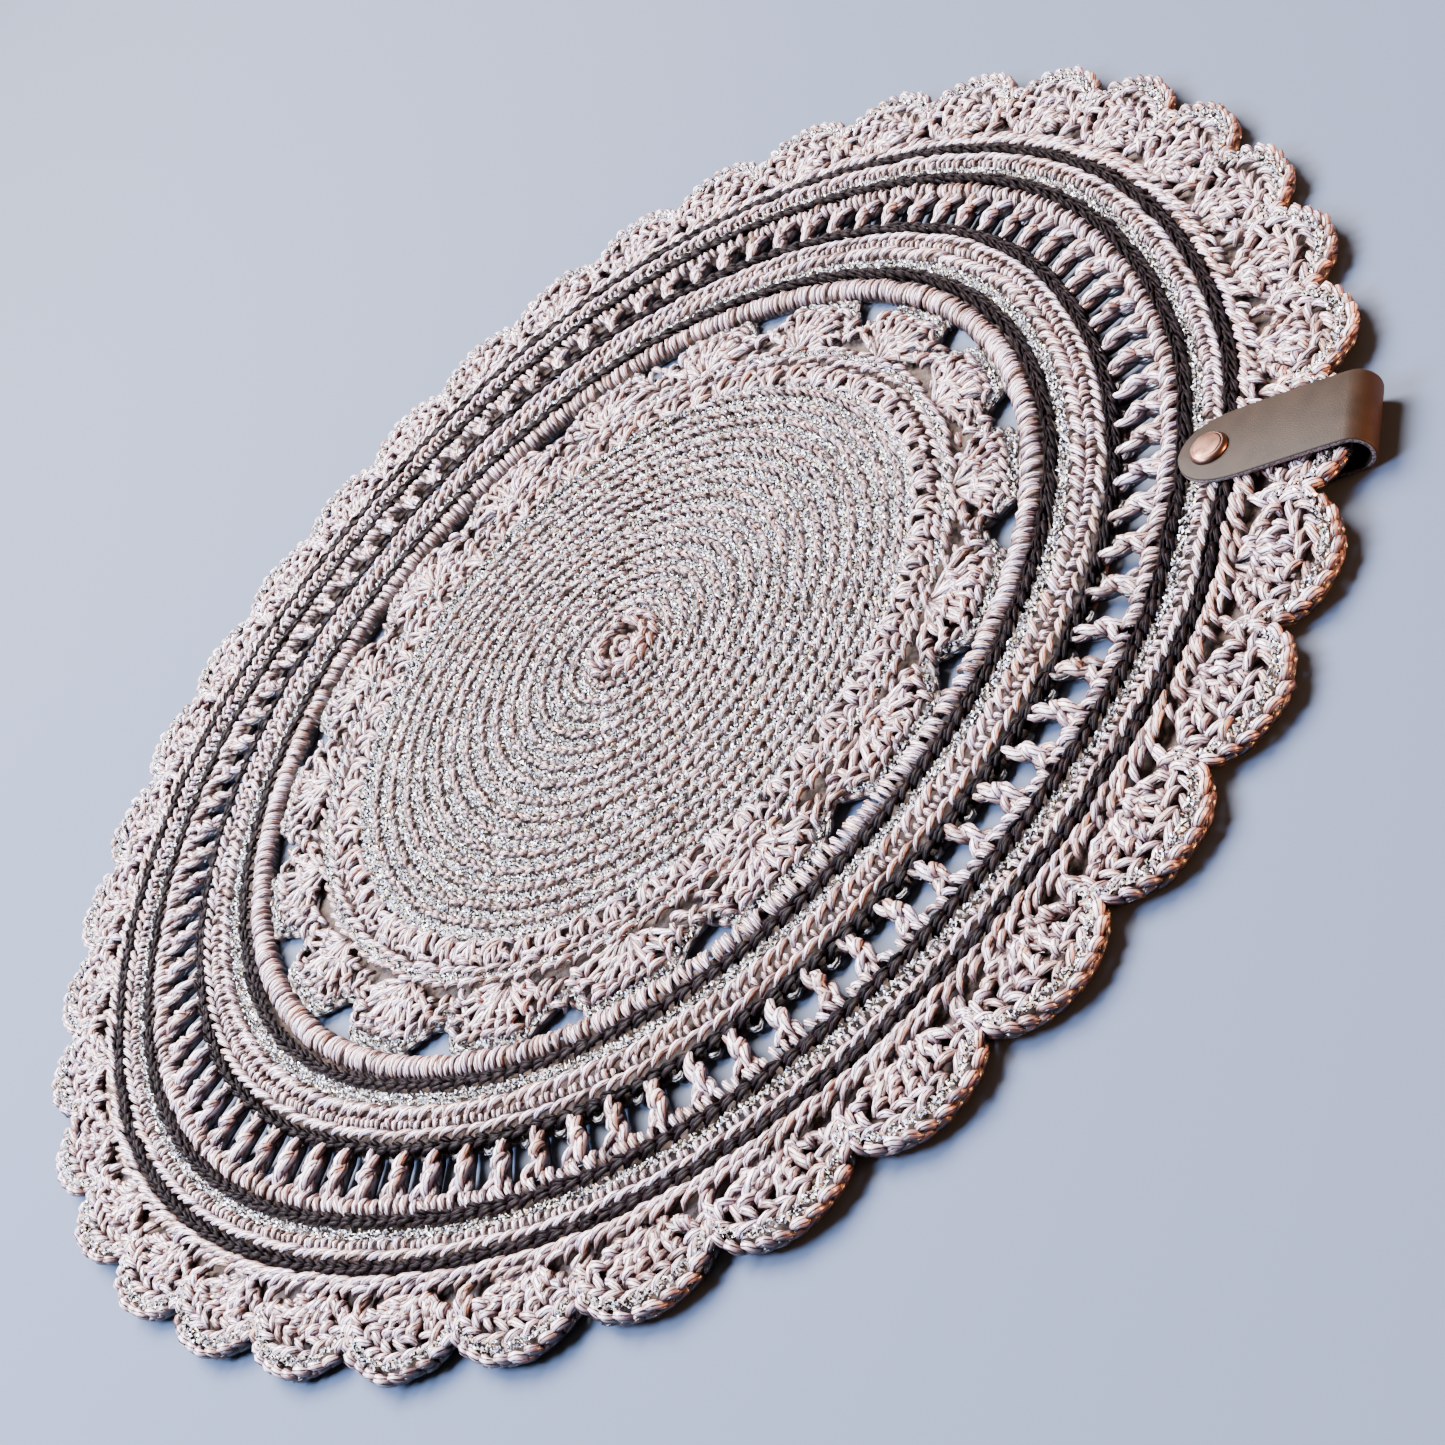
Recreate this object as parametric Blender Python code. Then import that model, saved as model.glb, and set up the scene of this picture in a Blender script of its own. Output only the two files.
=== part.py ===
"""Round crochet placemat with four dark chain rounds and a folded leather tag held by one rivet.

Blender 4.5, metres, +Z up. The mat lies flat on z = 0 with the middle of its rounds at the origin
and the tag on the -Y side. Sizes below are in millimetres, and are turned to metres by place().
"""
import math

import bmesh
import bpy
from mathutils import Vector

MM = 0.001
FULL_TURN = 2 * math.pi
GAP = 0.3

# Outline of the mat
TIP_RADIUS = 190.0
NOTCH_RADIUS = 178.0
SCALLOPS = 37
SCALLOP_BASE = 167.3
TAG_ANGLE = math.radians(270)
RIM_CREST_BACK = 3.2
RIM_FOOT_BACK = 0.8

# Middle disc of single crochet, and the pointed shells around it
DISC_RADIUS = 81.0
DISC_ROUNDS = 17
SHELLS = 18
SHELL_BASE = 95.0
SHELL_TIP = 112.9
SHELL_NOTCH = 104.5
SHELL_TURN = math.radians(12)
SHELL_GAP_BEFORE = 0.28
SHELL_GAP_AFTER = 0.19
SHELL_CREST_BACK = 2.4

# Trellis of slanting posts
POSTS = 90
TRELLIS_INNER = 138.0
TRELLIS_OUTER = 146.8
POST_SHARE = 0.38
POST_LEAN = 0.12

# Dark chain rounds, each lying in a groove of the mat
CHAIN_RADII = (120.3, 135.3, 152.8, 163.0)
CHAIN_FOOT = 1.8
CHAIN_TOP = 0.8
CHAIN_HEIGHT = 5.0
GROOVE_HALF = 2.3
GROOVE_FLOOR = 2.9

# Heights of the cloth's face
VALLEY = 3.4
EDGE = 3.8
CREST = 4.6
SHELL_MIDDLE = 4.2
SHELL_CREST = 5.0
FAN_MIDDLE = 3.5
WRAPPED_CREST = 5.3
RIM_CREST = 5.6
RIM_EDGE = 4.2
RIM_FOOT = 0.3

# Columns of points around each kind of round
EYE_COLUMNS = 20
DISC_COLUMNS = 40
PLAIN_COLUMNS = 72
UNDER_COLUMNS = 120

# Leather tag and its rivet
TAG_HALF_WIDTH = 9.4
TAG_THICKNESS = 1.3
TAG_END = 153.4
TAG_TAPER = 18.0
TAG_BLUNTNESS = 3.4
TAG_UPPER_Z = 8.15
TAG_LOWER_Z = 1.75
TAG_STEPS = (0.0, 0.8, 2.0, 4.0, 7.0, 11.0, 16.0, 24.0, 32.0)
TAG_SPREAD_FROM = 160.0
LOOP_CENTRE = (188.7, 4.9)
LOOP_RADIUS = 4.05
RIVET_RADIUS_AT = 158.8
RIVET_POST = 1.5
RIVET_CAP = 4.1
RIVET_SIDES = 24
UNDER_LIFT = 2.75
FACE_LIFT = 2.0
LIFT_ACROSS = (16.0, 34.0)
LIFT_OUTWARD = (132.0, 148.0)

# How the lying cloth departs from true circles: waves around, most in millimetres, turned by degrees
SWAYS = (
    {"waves": 3, "most": 1.4, "turned": 6.0},
    {"waves": 6, "most": 0.7, "turned": 24.0},
    {"waves": 2, "most": 0.6, "turned": -14.0},
)
SWAY_FROM = (95.0, 150.0)
EYE_SHIFT = (-1.2, -3.6)
EYE_HELD = (55.0, 112.0)
RIM_RISE = 1.3
RIM_RISE_FROM = 166.0


def ease(value, start, end):
    """Goes smoothly from 0 at start to 1 at end."""
    share = min(1.0, max(0.0, (value - start) / (end - start)))
    return share * share * (3 - 2 * share)


def over_tag(x, y):
    """1 where the cloth lies on the tag's lower leg, and 0 away from it."""
    return (1 - ease(abs(x), *LIFT_ACROSS)) * ease(-y, *LIFT_OUTWARD)


def place(radius, angle, height, lift):
    """A point of the cloth in metres, with the lie of the cloth added to its round place."""
    wave = sum(s["most"] * math.cos(s["waves"] * (angle - math.radians(s["turned"]))) for s in SWAYS)
    swayed = radius + wave * ease(radius, *SWAY_FROM)
    held = 1 - ease(radius, *EYE_HELD)
    x = swayed * math.cos(angle) + EYE_SHIFT[0] * held
    y = swayed * math.sin(angle) + EYE_SHIFT[1] * held
    tagged = over_tag(x, y)
    rise = RIM_RISE * (1 + 0.6 * math.cos(5 * angle)) * ease(radius, RIM_RISE_FROM, TIP_RADIUS)
    z = height + lift * tagged + rise * (1 - tagged)
    return Vector((x, y, z)) * MM


def even_angles(count):
    return [FULL_TURN * k / count for k in range(count)]


def scallop_columns():
    """Angles of the outline's columns with how far each is from its scallop's tip, from 0 to 1."""
    shares = (-0.40, -0.28, -0.14, 0.0, 0.14, 0.28, 0.40, 0.5)
    pitch = FULL_TURN / SCALLOPS
    places = [(k + share, 2 * abs(share)) for k in range(SCALLOPS) for share in shares]
    return sorted(((TAG_ANGLE + place_at * pitch) % FULL_TURN, off_tip) for place_at, off_tip in places)


def scallop_edge(off_tip):
    return NOTCH_RADIUS + (TIP_RADIUS - NOTCH_RADIUS) * math.sqrt(1 - off_tip ** 2)


def shell_columns():
    """Angles of the shells' columns, with 0 at a notch's bottom and 1 where the shell meets the round."""
    gap = [(-SHELL_GAP_BEFORE, 1.0), (-SHELL_GAP_BEFORE / 2, 0.5), (0.0, 0.0), (SHELL_GAP_AFTER / 2, 0.5),
           (SHELL_GAP_AFTER, 1.0)]
    joined = 1 - SHELL_GAP_BEFORE - SHELL_GAP_AFTER
    shares = gap + [(SHELL_GAP_AFTER + joined * part, 1.0) for part in (0.25, 0.5, 0.75)]
    pitch = FULL_TURN / SHELLS
    places = [(k + share, off) for k in range(SHELLS) for share, off in shares]
    return sorted(((SHELL_TURN + place_at * pitch) % FULL_TURN, off) for place_at, off in places)


def shell_edge(off_notch):
    """Radius of a shell's edge: a deep notch beside each tip, and the wrapped round elsewhere."""
    return SHELL_NOTCH + (SHELL_TIP - SHELL_NOTCH) * off_notch ** 1.4


def trellis_angles(lean):
    """Two columns for each post, at its left and right side."""
    pitch = FULL_TURN / POSTS
    half = POST_SHARE / 2
    return [(k + 0.5 + lean + side * half) * pitch for k in range(POSTS) for side in (-1, 1)]


def ring(bm, angles, radii, height, lift):
    """One closed round of points, as pairs of angle and vertex."""
    spots = zip(angles, radii)
    return [(angle, bm.verts.new(place(radius, angle, height, lift))) for angle, radius in spots]


def even_ring(bm, count, radius, height, lift=FACE_LIFT):
    return ring(bm, even_angles(count), [radius] * count, height, lift)


def add_face(bm, corners, facing_up):
    bm.faces.new(corners if facing_up else corners[::-1])


def bridge(bm, inner, outer, facing_up=True):
    """Fills the band between two rounds that may have different numbers of points."""
    i = 0
    j = 0
    n_in = len(inner)
    n_out = len(outer)
    while i < n_in or j < n_out:
        next_in = inner[i + 1][0] if i + 1 < n_in else inner[0][0] + FULL_TURN
        next_out = outer[j + 1][0] if j + 1 < n_out else outer[0][0] + FULL_TURN
        a = inner[i % n_in][1]
        b = outer[j % n_out][1]
        both = i < n_in and j < n_out and abs(next_in - next_out) < 1e-6
        if both:
            add_face(bm, [a, b, outer[(j + 1) % n_out][1], inner[(i + 1) % n_in][1]], facing_up)
            i += 1
            j += 1
        elif j >= n_out or (i < n_in and next_in < next_out):
            add_face(bm, [a, b, inner[(i + 1) % n_in][1]], facing_up)
            i += 1
        else:
            add_face(bm, [a, b, outer[(j + 1) % n_out][1]], facing_up)
            j += 1


def fan(bm, centre, around, facing_up=True):
    """Fills the middle of a round from one centre point."""
    for k in range(len(around)):
        follower = around[(k + 1) % len(around)][1]
        add_face(bm, [centre, around[k][1], follower], facing_up)


def wall(bm, upper, lower, k, m, faces_in):
    """One upright face between columns k and m of an upper and a lower round."""
    corners = [upper[k][1], upper[m][1], lower[m][1], lower[k][1]]
    bm.faces.new(corners if faces_in else corners[::-1])


def disc_rows(bm):
    """Ribbed face of the middle disc, from the eye outwards. Returns the last round."""
    pitch = DISC_RADIUS / DISC_ROUNDS
    centre = bm.verts.new(place(0.0, 0.0, CREST, FACE_LIFT))
    last = None
    for k in range(DISC_ROUNDS):
        columns = EYE_COLUMNS if k < 5 else DISC_COLUMNS
        crest = even_ring(bm, columns, (k + 0.5) * pitch, CREST)
        valley = even_ring(bm, columns, (k + 1) * pitch, VALLEY)
        if last is None:
            fan(bm, centre, crest)
        else:
            bridge(bm, last, crest)
        bridge(bm, crest, valley)
        last = valley
    return last


def plain_rows(bm, last, table):
    """Adds one round of points for each row of a table, joined to the one before. Returns the last."""
    for row in table:
        following = even_ring(bm, row.get("columns", PLAIN_COLUMNS), row["radius"], row["height"])
        bridge(bm, last, following)
        last = following
    return last


def groove(index):
    """The two rows of the groove floor that carries a chain round."""
    centre = CHAIN_RADII[index]
    return [{"radius": centre - GROOVE_HALF, "height": GROOVE_FLOOR},
            {"radius": centre + GROOVE_HALF, "height": GROOVE_FLOOR}]


def shell_rows(bm, last):
    """Shells with their see-through notches. Returns the wrapped round's and both lower rounds."""
    columns = shell_columns()
    angles = [angle for angle, _ in columns]
    edges = [shell_edge(off) for _, off in columns]
    count = len(columns)
    middle = ring(bm, angles, [(SHELL_BASE + e) / 2 for e in edges], SHELL_MIDDLE, FACE_LIFT)
    rim = ring(bm, angles, [e - SHELL_CREST_BACK for e in edges], SHELL_CREST, FACE_LIFT)
    edge = ring(bm, angles, edges, EDGE, FACE_LIFT)
    edge_under = ring(bm, angles, edges, 0.0, UNDER_LIFT)
    beyond = list(edge)
    beyond_under = list(edge_under)
    gap_columns = [k for k in range(count) if edges[k] < SHELL_TIP - 0.01]
    for k in gap_columns:
        beyond[k] = (angles[k], bm.verts.new(place(SHELL_TIP, angles[k], EDGE, FACE_LIFT)))
        beyond_under[k] = (angles[k], bm.verts.new(place(SHELL_TIP, angles[k], 0.0, UNDER_LIFT)))
    bridge(bm, last, middle)
    bridge(bm, middle, rim)
    bridge(bm, rim, edge)
    for k in range(count):
        m = (k + 1) % count
        if k in gap_columns or m in gap_columns:
            wall(bm, edge, edge_under, k, m, False)
            wall(bm, beyond, beyond_under, k, m, True)
    return beyond, edge_under, beyond_under


def trellis_rows(bm, last, last_under):
    """Slanting posts with a see-through gap between each two. Returns the outer upper and lower round."""
    inner_angles = trellis_angles(-POST_LEAN)
    outer_angles = trellis_angles(POST_LEAN)
    count = 2 * POSTS
    inner = ring(bm, inner_angles, [TRELLIS_INNER] * count, EDGE, FACE_LIFT)
    outer = ring(bm, outer_angles, [TRELLIS_OUTER] * count, EDGE, FACE_LIFT)
    inner_under = ring(bm, inner_angles, [TRELLIS_INNER] * count, 0.0, UNDER_LIFT)
    outer_under = ring(bm, outer_angles, [TRELLIS_OUTER] * count, 0.0, UNDER_LIFT)
    bridge(bm, last, inner)
    bridge(bm, last_under, inner_under, facing_up=False)
    for k in range(count):
        m = (k + 1) % count
        on_post = k % 2 == 0
        if on_post:
            bm.faces.new([inner[k][1], outer[k][1], outer[m][1], inner[m][1]])
            bm.faces.new([inner_under[m][1], outer_under[m][1], outer_under[k][1], inner_under[k][1]])
            bm.faces.new([inner[k][1], inner_under[k][1], outer_under[k][1], outer[k][1]])
            bm.faces.new([inner[m][1], outer[m][1], outer_under[m][1], inner_under[m][1]])
        else:
            wall(bm, inner, inner_under, k, m, False)
            wall(bm, outer, outer_under, k, m, True)
    return outer, outer_under


def scallop_rows(bm, last, last_under):
    """Fans with their raised rim, and the rim's foot below."""
    columns = scallop_columns()
    angles = [angle for angle, _ in columns]
    edges = [scallop_edge(off) for _, off in columns]
    sparse = [k for k in range(len(columns)) if columns[k][1] in (0.0, 0.56, 1.0)]
    middle_angles = [angles[k] for k in sparse]
    middle_radii = [(SCALLOP_BASE + edges[k]) / 2 for k in sparse]
    middle = ring(bm, middle_angles, middle_radii, FAN_MIDDLE, FACE_LIFT)
    crest = ring(bm, angles, [e - RIM_CREST_BACK for e in edges], RIM_CREST, FACE_LIFT)
    edge = ring(bm, angles, edges, RIM_EDGE, FACE_LIFT)
    foot = ring(bm, angles, [e - RIM_FOOT_BACK for e in edges], RIM_FOOT, UNDER_LIFT)
    bridge(bm, last, middle)
    bridge(bm, middle, crest)
    bridge(bm, crest, edge)
    bridge(bm, edge, foot)
    under = even_ring(bm, UNDER_COLUMNS, SCALLOP_BASE, 0.0, UNDER_LIFT)
    bridge(bm, last_under, under, facing_up=False)
    bridge(bm, under, foot, facing_up=False)


def finish_object(name, bm, material, smooth_angle):
    mesh = bpy.data.meshes.new(name)
    bm.to_mesh(mesh)
    bm.free()
    mesh.materials.append(material)
    mesh.shade_smooth()
    mesh.set_sharp_from_angle(angle=math.radians(smooth_angle))
    thing = bpy.data.objects.new(name, mesh)
    bpy.context.collection.objects.link(thing)
    return thing


def make_material(name, colour, roughness, metallic=0.0):
    material = bpy.data.materials.new(name)
    material.use_nodes = True
    shader = material.node_tree.nodes["Principled BSDF"]
    shader.inputs["Base Color"].default_value = (*colour, 1.0)
    shader.inputs["Roughness"].default_value = roughness
    shader.inputs["Metallic"].default_value = metallic
    return material


def cut_post_hole(thing, name, radius, low, high):
    """Opens a round hole for the rivet's post through one piece."""
    bpy.ops.mesh.primitive_cylinder_add(vertices=12, radius=radius * MM, depth=(high - low) * MM,
                                        location=(0, -RIVET_RADIUS_AT * MM, (low + high) / 2 * MM))
    cutter = bpy.context.object
    cutter.name = name
    cutter.hide_render = True
    cutter.display_type = "WIRE"
    cut = thing.modifiers.new("post hole", "BOOLEAN")
    cut.operation = "DIFFERENCE"
    cut.object = cutter


def make_mat(cord):
    """The crocheted cloth: one piece, worked in rounds from the eye to the scallops."""
    bm = bmesh.new()
    last = disc_rows(bm)
    last = plain_rows(bm, last, [
        {"radius": 86.3, "height": 4.5},
        {"radius": 90.6, "height": 3.6},
        {"radius": 92.4, "height": 4.6},
        {"radius": SHELL_BASE, "height": VALLEY},
    ])
    beyond, edge_under, beyond_under = shell_rows(bm, last)
    centre_under = bm.verts.new(place(0.0, 0.0, 0.0, UNDER_LIFT))
    fan(bm, centre_under, edge_under, facing_up=False)
    last = plain_rows(bm, beyond, [{"radius": 115.3, "height": WRAPPED_CREST}, *groove(0),
                                   {"radius": 124.6, "height": CREST},
                                   {"radius": 126.4, "height": EDGE},
                                   {"radius": 129.4, "height": 4.8},
                                   {"radius": 131.6, "height": 4.2}, *groove(1)])
    last, last_under = trellis_rows(bm, last, beyond_under)
    last = plain_rows(bm, last, [{"radius": 148.9, "height": 4.8}, *groove(2),
                                 {"radius": 157.8, "height": 4.8}, *groove(3),
                                 {"radius": SCALLOP_BASE, "height": 4.4, "columns": 2 * SCALLOPS}])
    scallop_rows(bm, last, last_under)
    mat = finish_object("mat", bm, cord, 50)
    cut_post_hole(mat, "mat_post_cutter", RIVET_POST + GAP, 0.0, 12.0)


def make_chain(index, cord):
    """One round of dark chain stitches, with a flat foot that lies in its groove."""
    bm = bmesh.new()
    centre = CHAIN_RADII[index]
    foot_height = GROOVE_FLOOR + GAP
    inner_foot = even_ring(bm, PLAIN_COLUMNS, centre - CHAIN_FOOT, foot_height)
    inner_top = even_ring(bm, PLAIN_COLUMNS, centre - CHAIN_TOP, CHAIN_HEIGHT)
    outer_top = even_ring(bm, PLAIN_COLUMNS, centre + CHAIN_TOP, CHAIN_HEIGHT)
    outer_foot = even_ring(bm, PLAIN_COLUMNS, centre + CHAIN_FOOT, foot_height)
    bridge(bm, inner_foot, inner_top)
    bridge(bm, inner_top, outer_top)
    bridge(bm, outer_top, outer_foot)
    bridge(bm, inner_foot, outer_foot, facing_up=False)
    finish_object(f"chain_{index + 1}", bm, cord, 60)


def tag_path():
    """Middle line of the folded strip from its upper end round the rim to its lower end, as (out, z)."""
    leg = [TAG_END + step for step in TAG_STEPS]
    out_most, middle_z = LOOP_CENTRE
    top_z = middle_z + LOOP_RADIUS
    low_z = middle_z - LOOP_RADIUS
    spread = [(out, ease(out, TAG_SPREAD_FROM, out_most)) for out in leg]
    upper = [(out, TAG_UPPER_Z + (top_z - TAG_UPPER_Z) * share) for out, share in spread]
    lower = [(out, TAG_LOWER_Z + (low_z - TAG_LOWER_Z) * share) for out, share in spread]
    turns = [math.radians(90 - 22.5 * k) for k in range(9)]
    loop = [(out_most + LOOP_RADIUS * math.cos(t), middle_z + LOOP_RADIUS * math.sin(t)) for t in turns]
    return upper + loop + lower[::-1]


def tag_half_width(out):
    """Half the strip's width, which narrows to a rounded end at the rivet."""
    from_end = min(1.0, (out - TAG_END) / TAG_TAPER)
    rounded = math.sqrt(1 - (1 - from_end) ** TAG_BLUNTNESS)
    return max(1.2, TAG_HALF_WIDTH * rounded)


def make_tag(leather):
    """The folded leather strip, with a hole through each leg for the rivet."""
    bm = bmesh.new()
    path = tag_path()
    sections = []
    for k in range(len(path)):
        before = Vector(path[max(0, k - 1)])
        after = Vector(path[min(len(path) - 1, k + 1)])
        along = (after - before).normalized()
        normal = Vector((-along[1], along[0]))
        middle = Vector(path[k])
        half = tag_half_width(path[k][0])
        outer = middle + normal * TAG_THICKNESS / 2
        inner = middle - normal * TAG_THICKNESS / 2
        corners = [(-half, outer), (half, outer), (half, inner), (-half, inner)]
        sections.append([bm.verts.new(Vector((x, -spot[0], spot[1])) * MM) for x, spot in corners])
    for first, second in zip(sections, sections[1:]):
        for k in range(4):
            m = (k + 1) % 4
            bm.faces.new([first[k], first[m], second[m], second[k]])
    bm.faces.new(sections[0][::-1])
    bm.faces.new(sections[-1])
    bmesh.ops.recalc_face_normals(bm, faces=bm.faces)
    tag = finish_object("leather_tag", bm, leather, 40)
    cut_post_hole(tag, "tag_post_cutter", RIVET_POST + GAP, -1.0, 12.0)


def make_rivet(metal):
    """Cap, post and back of the rivet, pressed together for good, turned about the post's axis."""
    leg_low = TAG_LOWER_Z - TAG_THICKNESS / 2 - GAP
    leg_high = TAG_UPPER_Z + TAG_THICKNESS / 2 + GAP
    profile = [
        (3.7, 0.0),
        (RIVET_CAP, 0.35),
        (RIVET_CAP, leg_low - 0.1),
        (3.9, leg_low),
        (RIVET_POST, leg_low),
        (RIVET_POST, leg_high),
        (RIVET_CAP - 0.1, leg_high),
        (RIVET_CAP, leg_high + 0.25),
        (3.7, leg_high + 0.85),
        (2.6, leg_high + 1.1),
    ]
    bm = bmesh.new()
    rounds = []
    for radius, z in profile:
        points = []
        for angle in even_angles(RIVET_SIDES):
            spot = Vector((radius * math.cos(angle), radius * math.sin(angle) - RIVET_RADIUS_AT, z))
            points.append((angle, bm.verts.new(spot * MM)))
        rounds.append(points)
    for below, above in zip(rounds, rounds[1:]):
        for k in range(RIVET_SIDES):
            m = (k + 1) % RIVET_SIDES
            bm.faces.new([below[k][1], below[m][1], above[m][1], above[k][1]])
    bm.faces.new([vertex for _, vertex in rounds[0]][::-1])
    bm.faces.new([vertex for _, vertex in rounds[-1]])
    finish_object("rivet", bm, metal, 35)


def main():
    for thing in list(bpy.data.objects):
        bpy.data.objects.remove(thing)
    taupe = make_material("taupe cord", (0.56, 0.45, 0.39), 0.6)
    dark = make_material("dark brown cord", (0.045, 0.032, 0.036), 0.6)
    leather = make_material("taupe leather", (0.20, 0.15, 0.11), 0.5)
    copper = make_material("copper-plated brass", (0.45, 0.25, 0.18), 0.35, 1.0)
    make_mat(taupe)
    for index in range(len(CHAIN_RADII)):
        make_chain(index, dark)
    make_tag(leather)
    make_rivet(copper)


main()
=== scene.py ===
# %% [markdown]
# # A crochet placemat with dark chain rounds and a leather tag
#
# The real mat is one long thick cord and one thin metallic thread, looped round and round by hand. A picture
# of crochet can't give the shadows between the strands, so each strand is made here as its own short
# tube, and thousands of them are joined into one mesh for each part of the mat.
#
# Sizes are in millimetres until the last step of each mesh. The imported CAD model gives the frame: z = 0
# is the table, the middle of the rounds is the origin, and the tag is on the -Y side.

# %% Frame and tools
import math

import bpy
import numpy as np
from mathutils import Matrix, Vector


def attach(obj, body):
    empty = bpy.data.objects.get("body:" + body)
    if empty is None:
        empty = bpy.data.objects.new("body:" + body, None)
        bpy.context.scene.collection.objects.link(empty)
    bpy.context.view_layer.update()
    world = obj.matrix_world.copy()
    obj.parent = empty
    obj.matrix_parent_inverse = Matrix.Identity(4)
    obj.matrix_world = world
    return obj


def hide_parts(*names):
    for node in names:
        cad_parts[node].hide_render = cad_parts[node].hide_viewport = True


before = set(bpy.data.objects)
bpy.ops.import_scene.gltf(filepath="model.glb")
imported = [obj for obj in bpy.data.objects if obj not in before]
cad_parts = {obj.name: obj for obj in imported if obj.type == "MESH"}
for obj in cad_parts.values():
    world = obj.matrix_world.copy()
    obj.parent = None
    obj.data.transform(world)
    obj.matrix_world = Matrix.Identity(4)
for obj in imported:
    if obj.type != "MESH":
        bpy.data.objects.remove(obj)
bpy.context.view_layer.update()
MM = 0.001
FULL_TURN = 2 * math.pi
rng = np.random.default_rng(7)


# %% [markdown]
# ## Camera
#
# The photograph was taken from close by and to one side, with the camera turned on its axis, so the mat
# lies aslant in the picture. The place, the aim, the roll and the focal length come from fitting circles
# to the four dark rounds.

# %% Camera
CAMERA_AT = Vector((-307.3, -331.4, 273.3)) * MM
CAMERA_AIM = Vector((-35.2, -44.7, 4.5)) * MM
CAMERA_ROLL = math.radians(-45.12)
FOCAL_IN_PIXELS = 2175.6
PHOTO_SIDE = 1445

camera_data = bpy.data.cameras.new("camera")
camera_data.sensor_fit = "HORIZONTAL"
camera_data.lens = camera_data.sensor_width * FOCAL_IN_PIXELS / PHOTO_SIDE
camera = bpy.data.objects.new("camera", camera_data)
bpy.context.collection.objects.link(camera)
level = (CAMERA_AIM - CAMERA_AT).to_track_quat("-Z", "Y").to_matrix().to_4x4()
camera.matrix_world = Matrix.Translation(CAMERA_AT) @ level @ Matrix.Rotation(CAMERA_ROLL, 4, "Z")
bpy.context.scene.camera = camera
print("Lens in millimetres:", round(camera_data.lens, 1))


# %% [markdown]
# ## Colours and nodes
#
# Colours are written as the hex values that a paint program shows. The renderer works with linear
# light, so one function turns them. One more adds a node with its settings, its colour stops and its
# links, and a third joins the last node of a chain to the shader.

# %% Colour and node helpers
def linear(hex_colour):
    """Linear RGBA from an sRGB hex value."""
    parts = [int(hex_colour[k:k + 2], 16) / 255 for k in (1, 3, 5)]
    return (*[c / 12.92 if c <= 0.04045 else ((c + 0.055) / 1.055) ** 2.4 for c in parts], 1.0)


def first_output(source):
    """The first output of a node. A socket is given back as it is."""
    return source.outputs[0] if isinstance(source, bpy.types.Node) else source


def node(material, kind, settings=None, stops=(), **links):
    """Adds one node. A link's value is a node, a socket or a constant. stops colour a ramp, low to high."""
    made = material.node_tree.nodes.new(kind)
    for key, value in (settings or {}).items():
        setattr(made, key, value)
    if stops:
        first, *inner, last = stops
        for stop, (position, colour) in zip(made.color_ramp.elements, (first, last)):
            stop.position, stop.color = position, linear(colour)
        for position, colour in inner:
            made.color_ramp.elements.new(position).color = linear(colour)
    for key, value in links.items():
        socket = made.inputs[int(key[1:])] if key[0] == "_" else made.inputs[key.replace("_", " ")]
        value = first_output(value)
        if isinstance(value, bpy.types.NodeSocket):
            material.node_tree.links.new(value, socket)
        else:
            socket.default_value = value
    return made


def new_material(name, roughness, metallic=0.0, **shader_values):
    """A material with its Principled shader, whose constant values are set on the shader's own sockets."""
    material = bpy.data.materials.new(name)
    material.use_nodes = True
    shader = material.node_tree.nodes["Principled BSDF"]
    shader.inputs["Roughness"].default_value = roughness
    shader.inputs["Metallic"].default_value = metallic
    for key, value in shader_values.items():
        shader.inputs[key.replace("_", " ")].default_value = value
    return material, shader


def join(source, shader, name):
    """Joins a node or a socket to one of the shader's inputs."""
    shader.id_data.links.new(first_output(source), shader.inputs[name])


print("Mid grey #808080 in linear light:", round(linear("#808080")[0], 3))


# %% [markdown]
# ## Cord
#
# The cord is mercerised cotton. Mercerising swells the fibres and gives them a soft silky shine along the
# strand. Each strand carries two attributes. strand_space holds the distance along the strand in
# millimetres and the direction around it, so the plies can be drawn as a wave that winds round the
# strand. tone holds how light or brown that stretch of cord is: its own random tone, plus painted shade
# where the cord lies deep in the cloth and painted light on the side of a strand that faces up.
#
# The plies are hardly twisted, one turn in 24 mm, so they show as fine lines along the strand, six around
# it. The grooves between the plies are coloured dark, as painted shade, and the crests of the plies are
# lightened, as painted light. The fibres, far thinner than a pixel, are drawn as streaks about 1.2 mm long
# and 0.15 mm wide.

# %% Cord material
PLIES = 6
PLY_TURN = 24.0
STREAKS = (0.84, 5.28, 5.28)  # in a millimetre along the strand, and in a radius across it
PLY_WAVER = 3.0
GROOVE_ENDS = (-1.0, -0.15)  # on the ply wave, which goes from -1 to 1
DYE_CHANGES = 0.06  # in a millimetre of cord
TONE_STOPS = (0.0, 0.3, 0.6, 0.95)
DYE_STOPS = (0.32, 0.46, 0.57, 0.7)
# The crest's share lightens the middle of each ply: painted light.
FIBRE_LIGHT, CREST_PAINTED_LIGHT = 0.5, 0.3  # what a fibre and the crest of a ply add to the tone
FIBRE_HEIGHT = 0.35  # beside a ply's height of 1


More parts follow.
